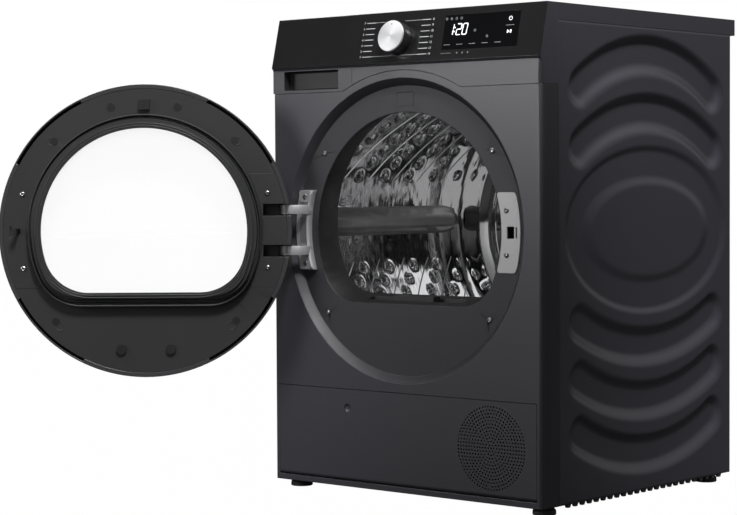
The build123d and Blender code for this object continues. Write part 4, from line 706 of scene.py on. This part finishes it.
def numberLoops(text, size, u, v):
    curve = bpy.data.curves.new("numberShape", "FONT")
    curve.body = text
    curve.size = size
    curve.align_x = "CENTER"
    curve.align_y = "CENTER"
    holder = bpy.data.objects.new("numberShape", curve)
    bpy.context.scene.collection.objects.link(holder)
    mesh = bpy.data.meshes.new_from_object(holder.evaluated_get(bpy.context.evaluated_depsgraph_get()))
    verts = [onSlope(u + p.co.x, v + p.co.y, printLift) for p in mesh.vertices]
    faces = [tuple(p.vertices) for p in mesh.polygons]
    bpy.data.objects.remove(holder)
    bpy.data.curves.remove(curve)
    bpy.data.meshes.remove(mesh)
    return verts, faces


dialParts, leaderLoops = [], []
for i, v in enumerate(evenly(dial["high"], dial["low"], dial["rows"] - 1)):
    for side, sign, number in (("left", -1, dial["rows"] - i), ("right", 1, dial["rows"] + 1 + i)):
        mark = dial[side]
        dialParts.append(numberLoops(str(number), dial["size"], mark["number"], v))
        leaderLoops.append(bar(mark["bar"][0], v, mark["bar"][1], v, dial["bar"]))
        if i in (0, dial["rows"] - 1):
            start, end = sorted((mark["bar"][1 if side == "left" else 0], knobAt[0] + sign * dial["lineEnd"]))
            leaderLoops.append(bar(start, v, end, v, dial["line"]))
# the dial's printed numbers glow faintly: painted light
makePiece("dialNumbers", joined(*dialParts, flatOnSlope(leaderLoops)), "cabinet", "gloss_black", "dialPrintGlow")
print("control panel marked")

# lining of the drawer's finger pocket, darker than the drawer's paint as painted shade
pocket = {"box": (-0.207, 0.733, 0.1296, 0.0336, 0.0024), "front": 0.0012, "back": 0.0186,
          "curve": 0.003, "ease": 0.0009}
rings = [(pocket["front"], 0.0), (pocket["back"] - pocket["curve"], 0.0),
         (pocket["back"] - pocket["ease"], pocket["ease"]), (pocket["back"], pocket["curve"])]
u, v, width, height, radius = pocket["box"]
verts = []
for setback, inset in rings:
    loop = boxLoop(u, v, width - 2 * inset, height - 2 * inset, radius)
    verts += [onFront(setback)(x, z, 0) for x, z in loop]
pocketFaces = gridFaces(len(rings), len(loop), closed=True)
pocketFaces.append(tuple(range(len(verts) - len(loop), len(verts))))
makePiece("pocketShadeLining", (verts, pocketFaces), "tank", "anthracite_paint", "pocketPaintedShade", 60)

# programme knob: black skirt, bright chamfer and a spun face with a painted sheen
knobLook = {"skirt": [(0.0003, 0), (0.0003, 0.0277), (0.0011, 0.0285), (0.006, 0.0285), (0.0201, 0.0281),
                      (0.0207, 0.0276), (0.0207, 0)],
            "face": [(0.0207, 0.0273), (0.0231, 0.0273), (0.0240, 0.0268), (0.0242, 0.024), (0.0243, 0.012),
                     (0.0243, 0)],
            "dot": [(0.0244, 0), (0.0244, 0.0011), (0.0238, 0.0012)], "dotReach": 0.0205}


def onKnob(along, c, s):
    return knobCentre + slopeOut * along + Vector((1, 0, 0)) * c + slopeUp * s


skirt = turned(knobLook["skirt"], 96, onKnob)
makePiece("knobSkirt", skirt, "knob", "knob_metal", "knobBlack", 40, ["program_knob"])
face = turned(knobLook["face"], 96, onKnob)
makePiece("knobFace", face, "knob", "knob_metal", "knobSilverPaintedSheen", 40)
dot = turned(knobLook["dot"], 20, lambda along, c, s: onKnob(along, c, s + knobLook["dotReach"]))
makePiece("knobDot", dot, "knob", "gloss_black", "knobBlack", 40)
print("knob turned")

# door: ribbed seal round the window
sealLook = {"inner": (0.1993, 0.1203, 0.0693), "outer": (0.2070, 0.1350, 0.0850),
            "profile": [(0.0, -0.003), (0.0, 0.0055), (0.12, 0.0085), (0.3, 0.0085), (0.42, 0.0045),
                        (0.55, 0.0045), (0.66, 0.0125), (0.78, 0.0134), (0.92, 0.0125), (1.0, 0.0095),
                        (1.0, -0.003)]}
sealLoops = list(zip(doorLoop(*sealLook["inner"]), doorLoop(*sealLook["outer"])))
verts = []
for share, lift in sealLook["profile"]:
    for (inner, _), (outer, _) in sealLoops:
        u, v = (start + (end - start) * share for start, end in zip(inner, outer))
        verts.append(onDoor(0)(u, v, lift))
sealFaces = gridFaces(len(sealLook["profile"]) + 1, len(sealLoops), closed=True)
sealFaces = [tuple(i % len(verts) for i in face) for face in sealFaces]  # the last row meets the first
solidPiece("windowSeal", (verts, sealFaces), "door", "seal_rubber", "sealRubber", 50, ["door_seal"])

# fine ridges round the window's frame
ridgeLook = {"loops": [(0.1862, 0.1122, 0.0842), (0.1905, 0.1165, 0.0885)], "half": 0.0011, "rise": 0.0009,
             "sunk": 0.0001, "setback": 0.024, "points": 7}
ridgeParts = []
for size in ridgeLook["loops"]:
    loop = doorLoop(*size)
    verts = []
    for share in ribShares(ridgeLook["points"]):
        out, lift = share * ridgeLook["half"], ridgeLook["rise"] * (1 - share ** 2) - ridgeLook["sunk"]
        verts += [onDoor(ridgeLook["setback"])(u + n[0] * out, v + n[1] * out, lift) for (u, v), n in loop]
    ridgeParts.append((verts, gridFaces(ridgeLook["points"], len(loop), closed=True)))
solidPiece("windowRidges", joined(*ridgeParts), "door", "door_ring", "innerDoorPlastic", 80)

# caps over the frame's fixings
capLook = {"reach": 0.2285, "angles": (75, 105, 44, 136, 228, 312), "setback": -0.003,
           "profile": [(-0.0002, 0.0085), (0.0005, 0.0079), (0.0005, 0.0062), (0.0001, 0.0057), (0.0001, 0)]}
capParts = []
for angle in capLook["angles"]:
    u, v = polar(capLook["reach"], math.radians(angle))
    capParts.append(turned(capLook["profile"], 36, screwOn(onDoor(capLook["setback"]), u, v)))
solidPiece("frameCaps", joined(*capParts), "door", "door_ring", "innerDoorPlastic", 30)
print("door dressed")

# strike plate with rounded ends
strike = {"inner": 0.2085, "outer": 0.247, "half": 0.067, "corner": 0.0072, "thick": 0.0025,
          "setback": 0.0115, "steps": 16, "screwX": 0.219, "screwZ": 0.037,
          "holes": [(0.227, 0, 0.015, 0.020, 0.001), (0.239, 0, 0.003, 0.018, 0.0008)]}
half, steps = strike["half"], strike["steps"]
corners = [(math.sqrt(strike["outer"] ** 2 - v ** 2), v) for v in evenly(-half, half, steps)]
corners += [(math.sqrt(strike["inner"] ** 2 - v ** 2), v) for v in evenly(half, -half, steps)]
radii = [strike["corner"] if i in (0, steps, steps + 1, 2 * steps + 1) else 0.0 for i in range(len(corners))]
strikeHoles = [boxLoop(*hole) for hole in strike["holes"]]
strikePlate = plate(roundedLoop(corners, radii), strikeHoles, strike["thick"], onMouth(strike["setback"]))
details = ("cabinet", "strike_metal", "strikeMetal", 30, ["strike_plate"])
addBevel(solidPiece("strikePlate", strikePlate, *details), 0.5)


# screws with a socket in the head
headShape = [(0, 1), (0.45, 1), (0.85, 0.8), (1, 0.5), (0.9, 0.42), (0.35, 0.36), (0.3, 0)]


def screwHead(radius, height, place):
    return turned([(height * rise, radius * reach) for rise, reach in headShape], 24, place)


# hinge bracket: end pads, a middle plate in a darker finish as painted shade, and a rounded rib along its
# inner edge
bracket = {"front": 0.006, "pads": [(-0.2270, 0.0598), (-0.2270, -0.0598)], "pad": (0.027, 0.0205, 0.004),
           "padRise": 0.0022, "padSunk": 0.0005, "plate": (-0.2335, 0.0, 0.014, 0.046, 0.003),
           "plateThick": 0.001, "plateRise": 0.0006, "ribRadius": 0.2226, "ribHalf": 0.0036,
           "ribRise": 0.0042, "ribReach": 0.0695, "ribFade": 0.004, "ribSunk": 0.0003, "ribSteps": 48,
           "ribPoints": 9}
padFront = bracket["front"] - bracket["padRise"]
padThick = bracket["padRise"] + bracket["padSunk"]
pads = [plate(boxLoop(u, v, *bracket["pad"]), [], padThick, onMouth(padFront)) for u, v in bracket["pads"]]
addBevel(solidPiece("hingePads", joined(*pads), "cabinet", "hinge_metal", "hingeMetal", 30), 0.8, 3)
plateFront = bracket["front"] - bracket["plateRise"]
# the middle plate's darker finish is painted shade
middle = plate(boxLoop(*bracket["plate"]), [], bracket["plateThick"], onMouth(plateFront))
addBevel(solidPiece("hingeMiddle", middle, "cabinet", "hinge_metal", "castMetal", 30), 0.25)
verts = []
for v in evenly(-bracket["ribReach"], bracket["ribReach"], bracket["ribSteps"]):
    fade = 0.5 + 0.5 * smooth((bracket["ribReach"] - abs(v)) / bracket["ribFade"])
    for share in ribShares(bracket["ribPoints"]):
        reach = bracket["ribRadius"] + bracket["ribHalf"] * share
        lift = bracket["ribRise"] * math.sqrt(1 - share ** 2) * fade - bracket["ribSunk"]
        verts.append(onMouth(bracket["front"])(-math.sqrt(reach ** 2 - v ** 2), v, lift))
ribEnds = [tuple(range(bracket["ribPoints"])), tuple(range(len(verts) - bracket["ribPoints"], len(verts)))]
ribFaces = gridFaces(bracket["ribSteps"] + 1, bracket["ribPoints"]) + ribEnds
solidPiece("hingeRib", (verts, ribFaces), "cabinet", "hinge_metal", "hingeMetal", 60)

screws = {"recess": [(-0.187, 0.136), (0.187, 0.136), (-0.181, -0.147), (0.181, -0.147)],
          "recessSetback": 0.014, "recessRadius": 0.005, "radius": 0.0045, "height": 0.002,
          "doorX": 0.217, "doorZ": 0.066, "doorSetback": -0.003}
strikeSpots = [(strike["screwX"], sign * strike["screwZ"]) for sign in (1, -1)]
doorSpots = [(x * screws["doorX"], z * screws["doorZ"]) for x in (-1, 1) for z in (-1, 1)]


def screwRow(place, spots, radius=screws["radius"], height=screws["height"]):
    return [screwHead(radius, height, screwOn(place, u, v)) for u, v in spots]


frontHeads = screwRow(onMouth(screws["recessSetback"]), screws["recess"], screws["recessRadius"])
frontHeads += screwRow(onMouth(strike["setback"]), strikeSpots) + screwRow(onMouth(padFront), bracket["pads"])
doorHeads = screwRow(onDoor(screws["doorSetback"]), doorSpots)
solidPiece("recessScrews", joined(*frontHeads), "cabinet", "screw_steel", "screwSteel", 30, ["front_screws"])
solidPiece("coverScrews", joined(*doorHeads), "door", "screw_steel", "screwSteel", 30, ["door_screws"])
print("screws set")

# drum: polished shell with rows of bosses between slanting creases
drum = {"radius": 0.285, "front": 0.0763, "rear": 0.530, "around": 600, "along": 150, "wall": 0.001,
        "pitch": 0.0727, "lean": 0.82, "plain": 0.071, "rowGap": 0.0256, "firstRow": 0.0885,
        "bossReach": 0.0140, "bossHeight": 0.0038, "bossEnds": (0.088, 0.512), "bossFade": 0.015,
        "phases": (0.0191, 0.0377), "ripple": 0.00012, "rippleAlong": 190, "rippleRound": 150,
        "lifters": 3, "lifterAngle": 177.8,
        "lip": [(0.0763, 0.285), (0.0763, 0.266), (0.0757, 0.265), (0.0750, 0.266), (0.0750, 0.286)]}
sector = 2 * math.pi / drum["lifters"]
headings = [math.radians(drum["lifterAngle"]) + index * sector for index in range(drum["lifters"])]


# how far the shell bulges inwards at one angle and setback; each lifter stands on a plain strip
def shellRise(angle, setback):
    turn = (angle - headings[0] + sector / 2) % sector - sector / 2
    arc = turn * drum["radius"]
    row = round((abs(arc) - drum["firstRow"]) / drum["rowGap"])
    if row < 0:
        return drum["ripple"] * math.sin(setback * drum["rippleAlong"]) * math.sin(arc * drum["rippleRound"])
    rowArc = math.copysign(drum["firstRow"] + row * drum["rowGap"], arc)
    phase = drum["phases"][0 if arc < 0 else 1]
    along = (setback + drum["lean"] * rowArc - phase) % drum["pitch"] - drum["pitch"] / 2
    start, end = drum["bossEnds"]
    ends = smooth((setback - start) / drum["bossFade"]) * smooth((end - setback) / drum["bossFade"])
    return drum["bossHeight"] * ends * smooth(1 - math.hypot(arc - rowArc, along) / drum["bossReach"])


def onDrum(along, c, s):
    return Vector((c, frontY + along, doorZ + s))


verts = []
for setback in evenly(drum["front"], drum["rear"], drum["along"]):
    for angle in around(drum["around"]):
        verts.append(onDrum(setback, *polar(drum["radius"] - shellRise(angle, setback), angle)))
shellFaces = gridFaces(drum["along"] + 1, drum["around"], closed=True)
shellForm = joined((verts, shellFaces), turned(drum["lip"], 180, onDrum))
shell = makePiece("drumShell", shellForm, "drum", "drum_steel", "drumSteel", 60, ["drum_shell"])
wall = shell.modifiers.new("wall", "SOLIDIFY")
wall.thickness = drum["wall"]
wall.offset = 1
print("drum shell rolled:", len(verts), "points")

# creases: slim raised lines that slant across each strip of bosses
crease = {"height": 0.0016, "half": 0.0019, "foot": 0.0001, "sunk": 0.0002, "ends": (0.09, 0.513),
          "numbers": range(-4, 14), "steps": 60, "points": 5, "fade": 4}
halfSector = sector * drum["radius"] / 2


def creasePath(heading, side, start):
    path = []
    for arc in evenly(drum["plain"], halfSector, crease["steps"]):
        setback = start - drum["lean"] * side * arc
        if crease["ends"][0] < setback < crease["ends"][1]:
            path.append((heading + side * arc / drum["radius"], setback))
    return path


def creaseForm(path, side):
    verts = []
    for k, (angle, setback) in enumerate(path):
        fade = smooth(min(k, len(path) - 1 - k) / crease["fade"])
        for share in ribShares(crease["points"]):
            lift = (crease["height"] * (1 - share ** 2) + crease["foot"]) * fade - crease["sunk"]
            verts.append(onDrum(setback + crease["half"] * share, *polar(drum["radius"] - lift, angle)))
    return verts, gridFaces(len(path), crease["points"], flip=side < 0)


creaseParts = []
for heading in headings:
    for side, phase in zip((-1, 1), drum["phases"]):
        for number in crease["numbers"]:
            path = creasePath(heading, side, phase + number * drum["pitch"])
            if len(path) >= crease["fade"]:
                creaseParts.append(creaseForm(path, side))
makePiece("drumCreases", joined(*creaseParts), "drum", "drum_steel", "creaseSteel", 80)

# drum back: flat rim, a bright dished band, a pierced disc and a three-lobed hub
backLook = {"rim": [(0.5300, 0.2848), (0.5206, 0.2846), (0.5200, 0.280), (0.5194, 0.272), (0.5200, 0.262),
                    (0.5206, 0.250), (0.5200, 0.240), (0.5192, 0.236), (0.5192, 0.2335), (0.5200, 0.2320),
                    (0.5288, 0.2125), (0.5294, 0.2095), (0.5288, 0.2078), (0.5276, 0.2045),
                    (0.5276, 0.2015), (0.5288, 0.1990)],
            "disc": 0.199, "setback": 0.5288, "thick": 0.001, "points": 240,
            "slots": 24, "slotReach": 0.168, "slotHalf": (0.024, 0.004), "slotCorner": 0.0039,
            "holeRings": 4, "holeReach": 0.092, "holeGap": 0.0145, "holes": 30, "moreHoles": 6,
            "hole": 0.0034, "hubReach": 0.080, "hubAngles": (90, 210, 330), "hubCorner": 0.05,
            "hubSetback": 0.5165, "hubThick": 0.0125, "screwShare": 0.6, "screw": (0.006, 0.0025),
            "nut": (0.014, 0.005)}
rimBand = turned(backLook["rim"], backLook["points"], onDrum)
x, y = backLook["slotHalf"]
slotLoop = roundedLoop([(-x, -y), (x, -y), (x, y), (-x, y)], [backLook["slotCorner"]] * 4, 4)
discHoles = []
for a in around(backLook["slots"]):
    c, n = polar(1, a)
    spots = [(backLook["slotReach"] + x, y) for x, y in slotLoop]
    discHoles.append([(x * c - y * n, x * n + y * c) for x, y in spots])
for ring in range(backLook["holeRings"]):
    reach = backLook["holeReach"] + backLook["holeGap"] * ring
    for a in around(backLook["holes"] + backLook["moreHoles"] * ring, 0.5 * (ring % 2)):
        discHoles.append(ringLoop(*polar(reach, a), backLook["hole"], 10))
discLoop = ringLoop(0, 0, backLook["disc"], backLook["points"])
disc = plate(discLoop, discHoles, backLook["thick"], onMouth(backLook["setback"]))
onHub = onMouth(backLook["hubSetback"])
hubCorners = [polar(backLook["hubReach"], math.radians(angle)) for angle in backLook["hubAngles"]]
hub = plate(roundedLoop(hubCorners, [backLook["hubCorner"]] * 3, 12), [], backLook["hubThick"], onHub)
share = backLook["screwShare"]
hubScrews = [screwHead(*backLook["screw"], screwOn(onHub, u * share, v * share)) for u, v in hubCorners]
hubScrews.append(screwHead(*backLook["nut"], screwOn(onHub, 0, 0)))
solidPiece("drumBack", joined(rimBand, disc), "drum", "drum_steel", "drumSteel", 40, ["drum_back"])
hubPiece = solidPiece("drumHub", joined(hub, *hubScrews), "drum", "drum_steel", "drumSteel", 30)
addBevel(hubPiece, 1.5, 3, 50)

# lifters: long hollow paddles that taper at both ends
lifter = {"start": 0.093, "end": 0.502, "height": 0.046, "foot": 0.027, "crest": 0.006, "taper": 0.045,
          "sections": 40, "points": 25, "edge": 0.004, "narrow": 0.75, "rearLow": 0.78, "rearLength": 0.040,
          "rearFade": 0.012, "flank": 1.15, "radius": 0.2846}


def paddleHeight(across, half, swell, rearStep):
    flank = max(0.0, (abs(across) - lifter["crest"]) / (half - lifter["crest"]))
    full = lifter["edge"] + (lifter["height"] - lifter["edge"]) * swell * rearStep
    return full * (1 - smooth(flank) ** lifter["flank"])


def paddle(heading):
    c, n = polar(1, heading)
    verts = []
    for setback in evenly(lifter["start"], lifter["end"], lifter["sections"]):
        near = min(setback - lifter["start"], lifter["end"] - setback)
        swell = math.sqrt(smooth(near / lifter["taper"]))
        rearShare = smooth((lifter["end"] - lifter["rearLength"] - setback) / lifter["rearFade"])
        rearStep = lifter["rearLow"] + (1 - lifter["rearLow"]) * rearShare
        half = lifter["foot"] * (lifter["narrow"] + (1 - lifter["narrow"]) * swell)
        for share in ribShares(lifter["points"]):
            across = half * share
            height = paddleHeight(across, half, swell, rearStep)
            reach = math.sqrt(lifter["radius"] ** 2 - across ** 2) - height
            verts.append(onDrum(setback, reach * c - across * n, reach * n + across * c))
    faces = gridFaces(lifter["sections"] + 1, lifter["points"])
    ends = [tuple(range(lifter["points"])), tuple(range(lifter["sections"] * lifter["points"], len(verts)))]
    return verts, faces + ends


paddleForm = joined(*[paddle(heading) for heading in headings])
solidPiece("lifterPaddles", paddleForm, "drum", "lifter_plastic", "lifterPlastic", 50, ["lifters"])
print("drum filled")

# rear: beads and louvres pressed into the sheet, screws down the edges
def onRear(setback):
    return lambda u, v, w: Vector((u, frontY + setback + w, v))


# half-round rib along a path
def bead(path, half, rise, place, closed=False, points=7, sunk=0.0002):
    count, verts = len(path), []
    for share in ribShares(points):
        for i, (u, v) in enumerate(path):
            before = path[i - 1] if closed or i else path[i]
            after = path[(i + 1) % count] if closed or i < count - 1 else path[i]
            along = (Vector(after) - Vector(before)).normalized()
            fade = 1 if closed else min(1, i, count - 1 - i)
            lift = rise * (1 - share ** 2) * fade - sunk
            verts.append(place(u - along.y * share * half, v + along.x * share * half, lift))
    return verts, gridFaces(points, count, closed=closed)


def straight(u0, v0, u1, v1, steps=8):
    return list(zip(evenly(u0, u1, steps), evenly(v0, v1, steps)))


rear = {"cover": onRear(0.5988), "rings": (0.075, 0.130, 0.185), "spokes": 10, "spokeEnds": (0.083, 0.177),
        "ring": (0.005, 0.0028), "panel": onRear(0.5818), "bead": (0.008, 0.0025),
        "edgeBeads": [(0.262, 0.34, 0.60), (-0.262, 0.30, 0.64)],
        "flange": onRear(0.583), "screwX": 0.2915, "screwZ": (0.07, 0.25, 0.43, 0.61, 0.79),
        "screw": (0.0042, 0.0018), "tabAngles": (10, 48, 90, 132, 170, 215), "tabReach": 0.222,
        "tabScrew": (0.0045, 0.0018)}
louvre = {"x": -0.19, "half": 0.045, "low": 0.075, "pitch": 0.017, "count": 7, "high": 0.011, "rise": 0.0045,
          "sunk": 0.0001, "rows": 9, "points": 13}
coverParts = [bead(ringLoop(0, doorZ, r, 96), *rear["ring"], rear["cover"], True) for r in rear["rings"]]
for a in around(rear["spokes"], 0.5):
    (u0, v0), (u1, v1) = (polar(reach, a) for reach in rear["spokeEnds"])
    coverParts.append(bead(straight(u0, doorZ + v0, u1, doorZ + v1), *rear["ring"], rear["cover"]))
makePiece("coverBeads", joined(*coverParts), "cabinet", "galvanised_steel", "zincSteel", 80)


def louvreForm(v):
    verts = []
    for step, share in enumerate(evenly(0.0, 1.0, louvre["rows"] - 1)):
        slant = math.sqrt(1 - share) if step else 0.0
        for across in ribShares(louvre["points"]):
            lift = louvre["rise"] * math.sqrt(1 - across ** 4) * slant - louvre["sunk"]
            u = louvre["x"] + across * louvre["half"]
            verts.append(rear["panel"](u, v + share * louvre["high"], lift))
    return verts, gridFaces(louvre["rows"], louvre["points"])


panelParts = []
for u, low, high in rear["edgeBeads"]:
    panelParts.append(bead(straight(u, low, u, high), *rear["bead"], rear["panel"]))
panelParts += [louvreForm(louvre["low"] + louvre["pitch"] * i) for i in range(louvre["count"])]
makePiece("panelBeads", joined(*panelParts), "cabinet", "galvanised_steel", "zincSteel", 50)
edgeSpots = [(sign * rear["screwX"], z) for sign in (-1, 1) for z in rear["screwZ"]]
rearHeads = [screwHead(*rear["screw"], screwOn(rear["flange"], u, v)) for u, v in edgeSpots]
for angle in rear["tabAngles"]:
    u, v = polar(rear["tabReach"], math.radians(angle))
    rearHeads.append(screwHead(*rear["tabScrew"], screwOn(rear["cover"], u, doorZ + v)))
solidPiece("rearScrews", joined(*rearHeads), "cabinet", "screw_steel", "screwSteel", 30)
print("rear pressed")

# feet: ribbed pads on threaded-looking stems
footLook = {"x": 0.273, "y": 0.25, "rings": 8, "ringFrom": 0.0125, "ringPitch": 0.00265, "ringHigh": 0.0013,
            "crest": 0.0049, "root": 0.0043, "top": (0.034, 0.0042),
            "pad": [(0, 0), (0, 0.0185), (0.0012, 0.0198), (0.004, 0.0198), (0.0046, 0.0190),
                    (0.0052, 0.0198), (0.0085, 0.0192), (0.0112, 0.0165), (0.012, 0.0135), (0.012, 0.0062)]}
footProfile = list(footLook["pad"])
for i in range(footLook["rings"]):
    height = footLook["ringFrom"] + footLook["ringPitch"] * i
    footProfile += [(height, footLook["crest"]), (height + footLook["ringHigh"], footLook["root"])]
footProfile += [footLook["top"], (footLook["top"][0], 0)]
for depthName, y in (("front", -footLook["y"]), ("rear", footLook["y"])):
    for sideName, x in (("left", -footLook["x"]), ("right", footLook["x"])):
        key = depthName + "_" + sideName
        form = turned(footProfile, 48, lambda along, c, s: Vector((x + c, y + s, along)))
        details = ("leg_" + key, "foot_rubber", "sealRubber", 35, ["foot_" + key])
        solidPiece("foot_" + key + "_pad", form, *details)
print("feet turned")

# row of short ribs under each side
ribs = {"first": 0.070, "last": 0.572, "pitch": 0.0205, "width": 0.0135, "low": 0.0095, "high": 0.0152,
        "inset": 0.293, "thick": 0.005, "drop": 0.0035}
boxFaces = [(3, 2, 1, 0), (4, 5, 6, 7), (0, 1, 5, 4), (1, 2, 6, 5), (2, 3, 7, 6), (3, 0, 4, 7)]
ribParts = []
for sign in (-1, 1):
    x0, x1 = sorted((sign * ribs["inset"], sign * (ribs["inset"] + ribs["thick"])))
    for i in range(int((ribs["last"] - ribs["first"]) / ribs["pitch"])):
        corners = []
        for z, drop in ((ribs["low"], ribs["drop"]), (ribs["high"], 0.0)):
            y0 = frontY + ribs["first"] + i * ribs["pitch"] + drop
            y1 = y0 + ribs["width"] - 2 * drop
            corners += [Vector(c) for c in ((x0, y0, z), (x1, y0, z), (x1, y1, z), (x0, y1, z))]
        ribParts.append((corners, boxFaces))
makePiece("undersideRibs", joined(*ribParts), "cabinet", "inner_plastic", "innerPlastic", 30)
print("underside ribbed")

# floor, light and camera
stageLook = {"floorHalf": 14.0, "floorColour": (0.14, 0.14, 0.14, 1), "floorMirrored": (0.03, 0.03, 0.03, 1),
             "ambient": 0.2, "whiteShare": 0.995, "white": (1, 1, 1, 1)}


def stageCard(name, half, place):  # a square sheet of the studio
    mesh = bpy.data.meshes.new(name)
    corners = ((-half, -half), (half, -half), (half, half), (-half, half))
    mesh.from_pydata([place(x, y) for x, y in corners], [], [(0, 1, 2, 3)])
    card = bpy.data.objects.new(name, mesh)
    bpy.context.scene.collection.objects.link(card)
    return card


floor = stageCard("floor", stageLook["floorHalf"], lambda x, y: (x, y, 0))
floorPaint = bpy.data.materials.new("floorPaint")
floorPaint.use_nodes = True
floorTree = floorPaint.node_tree
floorTree.nodes.clear()
floorRays = floorTree.nodes.new("ShaderNodeLightPath")
lightPath = Wire(floorTree, floorRays.outputs["Is Camera Ray"])
inMirror = Wire(floorTree, floorRays.outputs["Is Glossy Ray"])
paper = lightPath.node("ShaderNodeBsdfDiffuse", {}, {"Color": stageLook["floorColour"]})
dull = lightPath.node("ShaderNodeBsdfDiffuse", {}, {"Color": stageLook["floorMirrored"]})
paper = lightPath.node("ShaderNodeMixShader", {}, {0: inMirror, 1: paper, 2: dull})
white = lightPath.node("ShaderNodeEmission", {}, {"Color": stageLook["white"], "Strength": 1.0})
whiteness = lightPath * stageLook["whiteShare"]
floorMix = lightPath.node("ShaderNodeMixShader", {}, {0: whiteness, 1: paper, 2: white})
lightPath.node("ShaderNodeOutputMaterial", {"is_active_output": True}, {"Surface": floorMix}, None)
floor.data.materials.append(floorPaint)

world = bpy.data.worlds.new("studio")
bpy.context.scene.world = world
world.use_nodes = True
worldTree = world.node_tree
worldTree.nodes.clear()
rays = worldTree.nodes.new("ShaderNodeLightPath")
seen = Wire(worldTree, rays.outputs["Is Camera Ray"]) + Wire(worldTree, rays.outputs["Is Transmission Ray"])
mirrored = Wire(worldTree, rays.outputs["Is Glossy Ray"])


def backdrop(strength):
    return seen.node("ShaderNodeBackground", {}, {"Color": stageLook["white"], "Strength": strength})


sky = Wire(worldTree, worldTree.nodes.new("ShaderNodeTexCoord").outputs["Generated"])
skySide, skyFront, skyRise = (part(sky, index) for index in range(3))
skyLook = {"band": (0.06, 0.26, 0.85, 0.04), "ahead": (0.2, -0.5, 0.12, 1.0),
           "leftward": (0.3, -0.3, 0.15, 1.0), "frontal": (-0.84, -0.97, 0.0, 0.24),
           "crown": (0.45, 0.8, 0.0, 0.7), "behind": (0.4, 0.8, 0.0, 0.3), "rising": (-0.05, 0.2, 0.0, 1.0)}
band, crown, rising = (ramp(skyRise, *skyLook[key]) for key in ("band", "crown", "rising"))
ahead, frontal, behind = (ramp(skyFront, *skyLook[key]) for key in ("ahead", "frontal", "behind"))
leftward = ramp(skySide, *skyLook["leftward"])
glow = band * ahead * leftward + crown + frontal + behind * rising
unseen = {0: mirrored, 1: backdrop(stageLook["ambient"]), 2: backdrop(glow)}
someLight = seen.node("ShaderNodeMixShader", {}, unseen)
worldMix = seen.node("ShaderNodeMixShader", {}, {0: seen, 1: someLight, 2: backdrop(1.0)})
seen.node("ShaderNodeOutputWorld", {"is_active_output": True}, {"Surface": worldMix}, None)

lamps = {
    "overheadLamp": {"spot": (0.3, -2.2, 4.2), "aim": (0, 0, 0.4), "size": (2.6, 1.6), "power": 35},
    "sideLamp": {"spot": (2.9, -2.6, 5.0), "aim": (0.3, 0, 0.4), "size": (1.2, 1.2), "power": 470},
    "frontRightLamp": {"spot": (1.9, -4.2, 1.3), "aim": (-0.1, 0, 0.5), "size": (1.2, 1.6), "power": 24,
                       "mirrored": False},
    "drumLamp": {"spot": (0.02, -0.19, 0.70), "aim": (-0.05, 0.23, 0.45), "size": (0.34, 0.16), "power": 0.3},
    "drumFill": {"spot": (0.06, -0.19, 0.35), "aim": (0.12, 0.25, 0.62), "size": (0.30, 0.20), "power": 0.13},
    "rearLamp": {"spot": (-0.9, 3.4, 2.6), "aim": (0, 0.2, 0.4), "size": (2.0, 1.4), "power": 70},
    "leftLamp": {"spot": (-3.2, 1.6, 2.4), "aim": (-0.3, 0, 0.4), "size": (1.2, 1.2), "power": 60},
    "leftPanel": {"spot": (-1.6, -3.1, 1.25), "aim": (0.2, -0.3, 0.6), "size": (1.1, 0.6), "power": 28},
}
for name, lamp in lamps.items():
    data = bpy.data.lights.new(name, "AREA")
    data.shape = "RECTANGLE"
    data.size, data.size_y = lamp["size"]
    data.energy = lamp["power"]
    holder = bpy.data.objects.new(name, data)
    holder.location = lamp["spot"]
    holder.visible_glossy = lamp.get("mirrored", True)
    heading = Vector(lamp["aim"]) - Vector(lamp["spot"])
    holder.rotation_euler = heading.to_track_quat("-Z", "Y").to_euler()
    bpy.context.scene.collection.objects.link(holder)

# a card that shades the low right of the front
flag = {"target": Vector((0.16, -0.29, 0.08)), "share": 0.74, "half": 0.21}
flagFrom = Vector(lamps["sideLamp"]["spot"])
flagAt = flagFrom.lerp(flag["target"], flag["share"])
flagTurn = (flag["target"] - flagFrom).to_track_quat("-Z", "Y")
flagCard = stageCard("flag", flag["half"], lambda x, y: flagAt + flagTurn @ Vector((x, y, 0)))
flagCard.visible_camera = flagCard.visible_glossy = flagCard.visible_transmission = False

view = {"spot": (2.331194, -3.064554, 0.554286), "yaw": 40.93258, "pitch": 2.08718, "roll": -0.29541,
        "lens": 103.0, "sensor": 36, "far": 100}
viewTurn = Matrix.Rotation(math.radians(view["yaw"]), 4, "Z")
viewTurn @= Matrix.Rotation(math.radians(90 - view["pitch"]), 4, "X")
viewTurn @= Matrix.Rotation(math.radians(view["roll"]), 4, "Z")
camera = bpy.data.objects.new("camera", bpy.data.cameras.new("camera"))
camera.matrix_world = Matrix.Translation(view["spot"]) @ viewTurn
camera.data.lens = view["lens"]
camera.data.sensor_width = view["sensor"]
camera.data.sensor_fit = "HORIZONTAL"
camera.data.clip_end = view["far"]
bpy.context.scene.collection.objects.link(camera)
bpy.context.scene.camera = camera
bpy.context.scene.view_settings.view_transform = "Standard"
print("stage set")
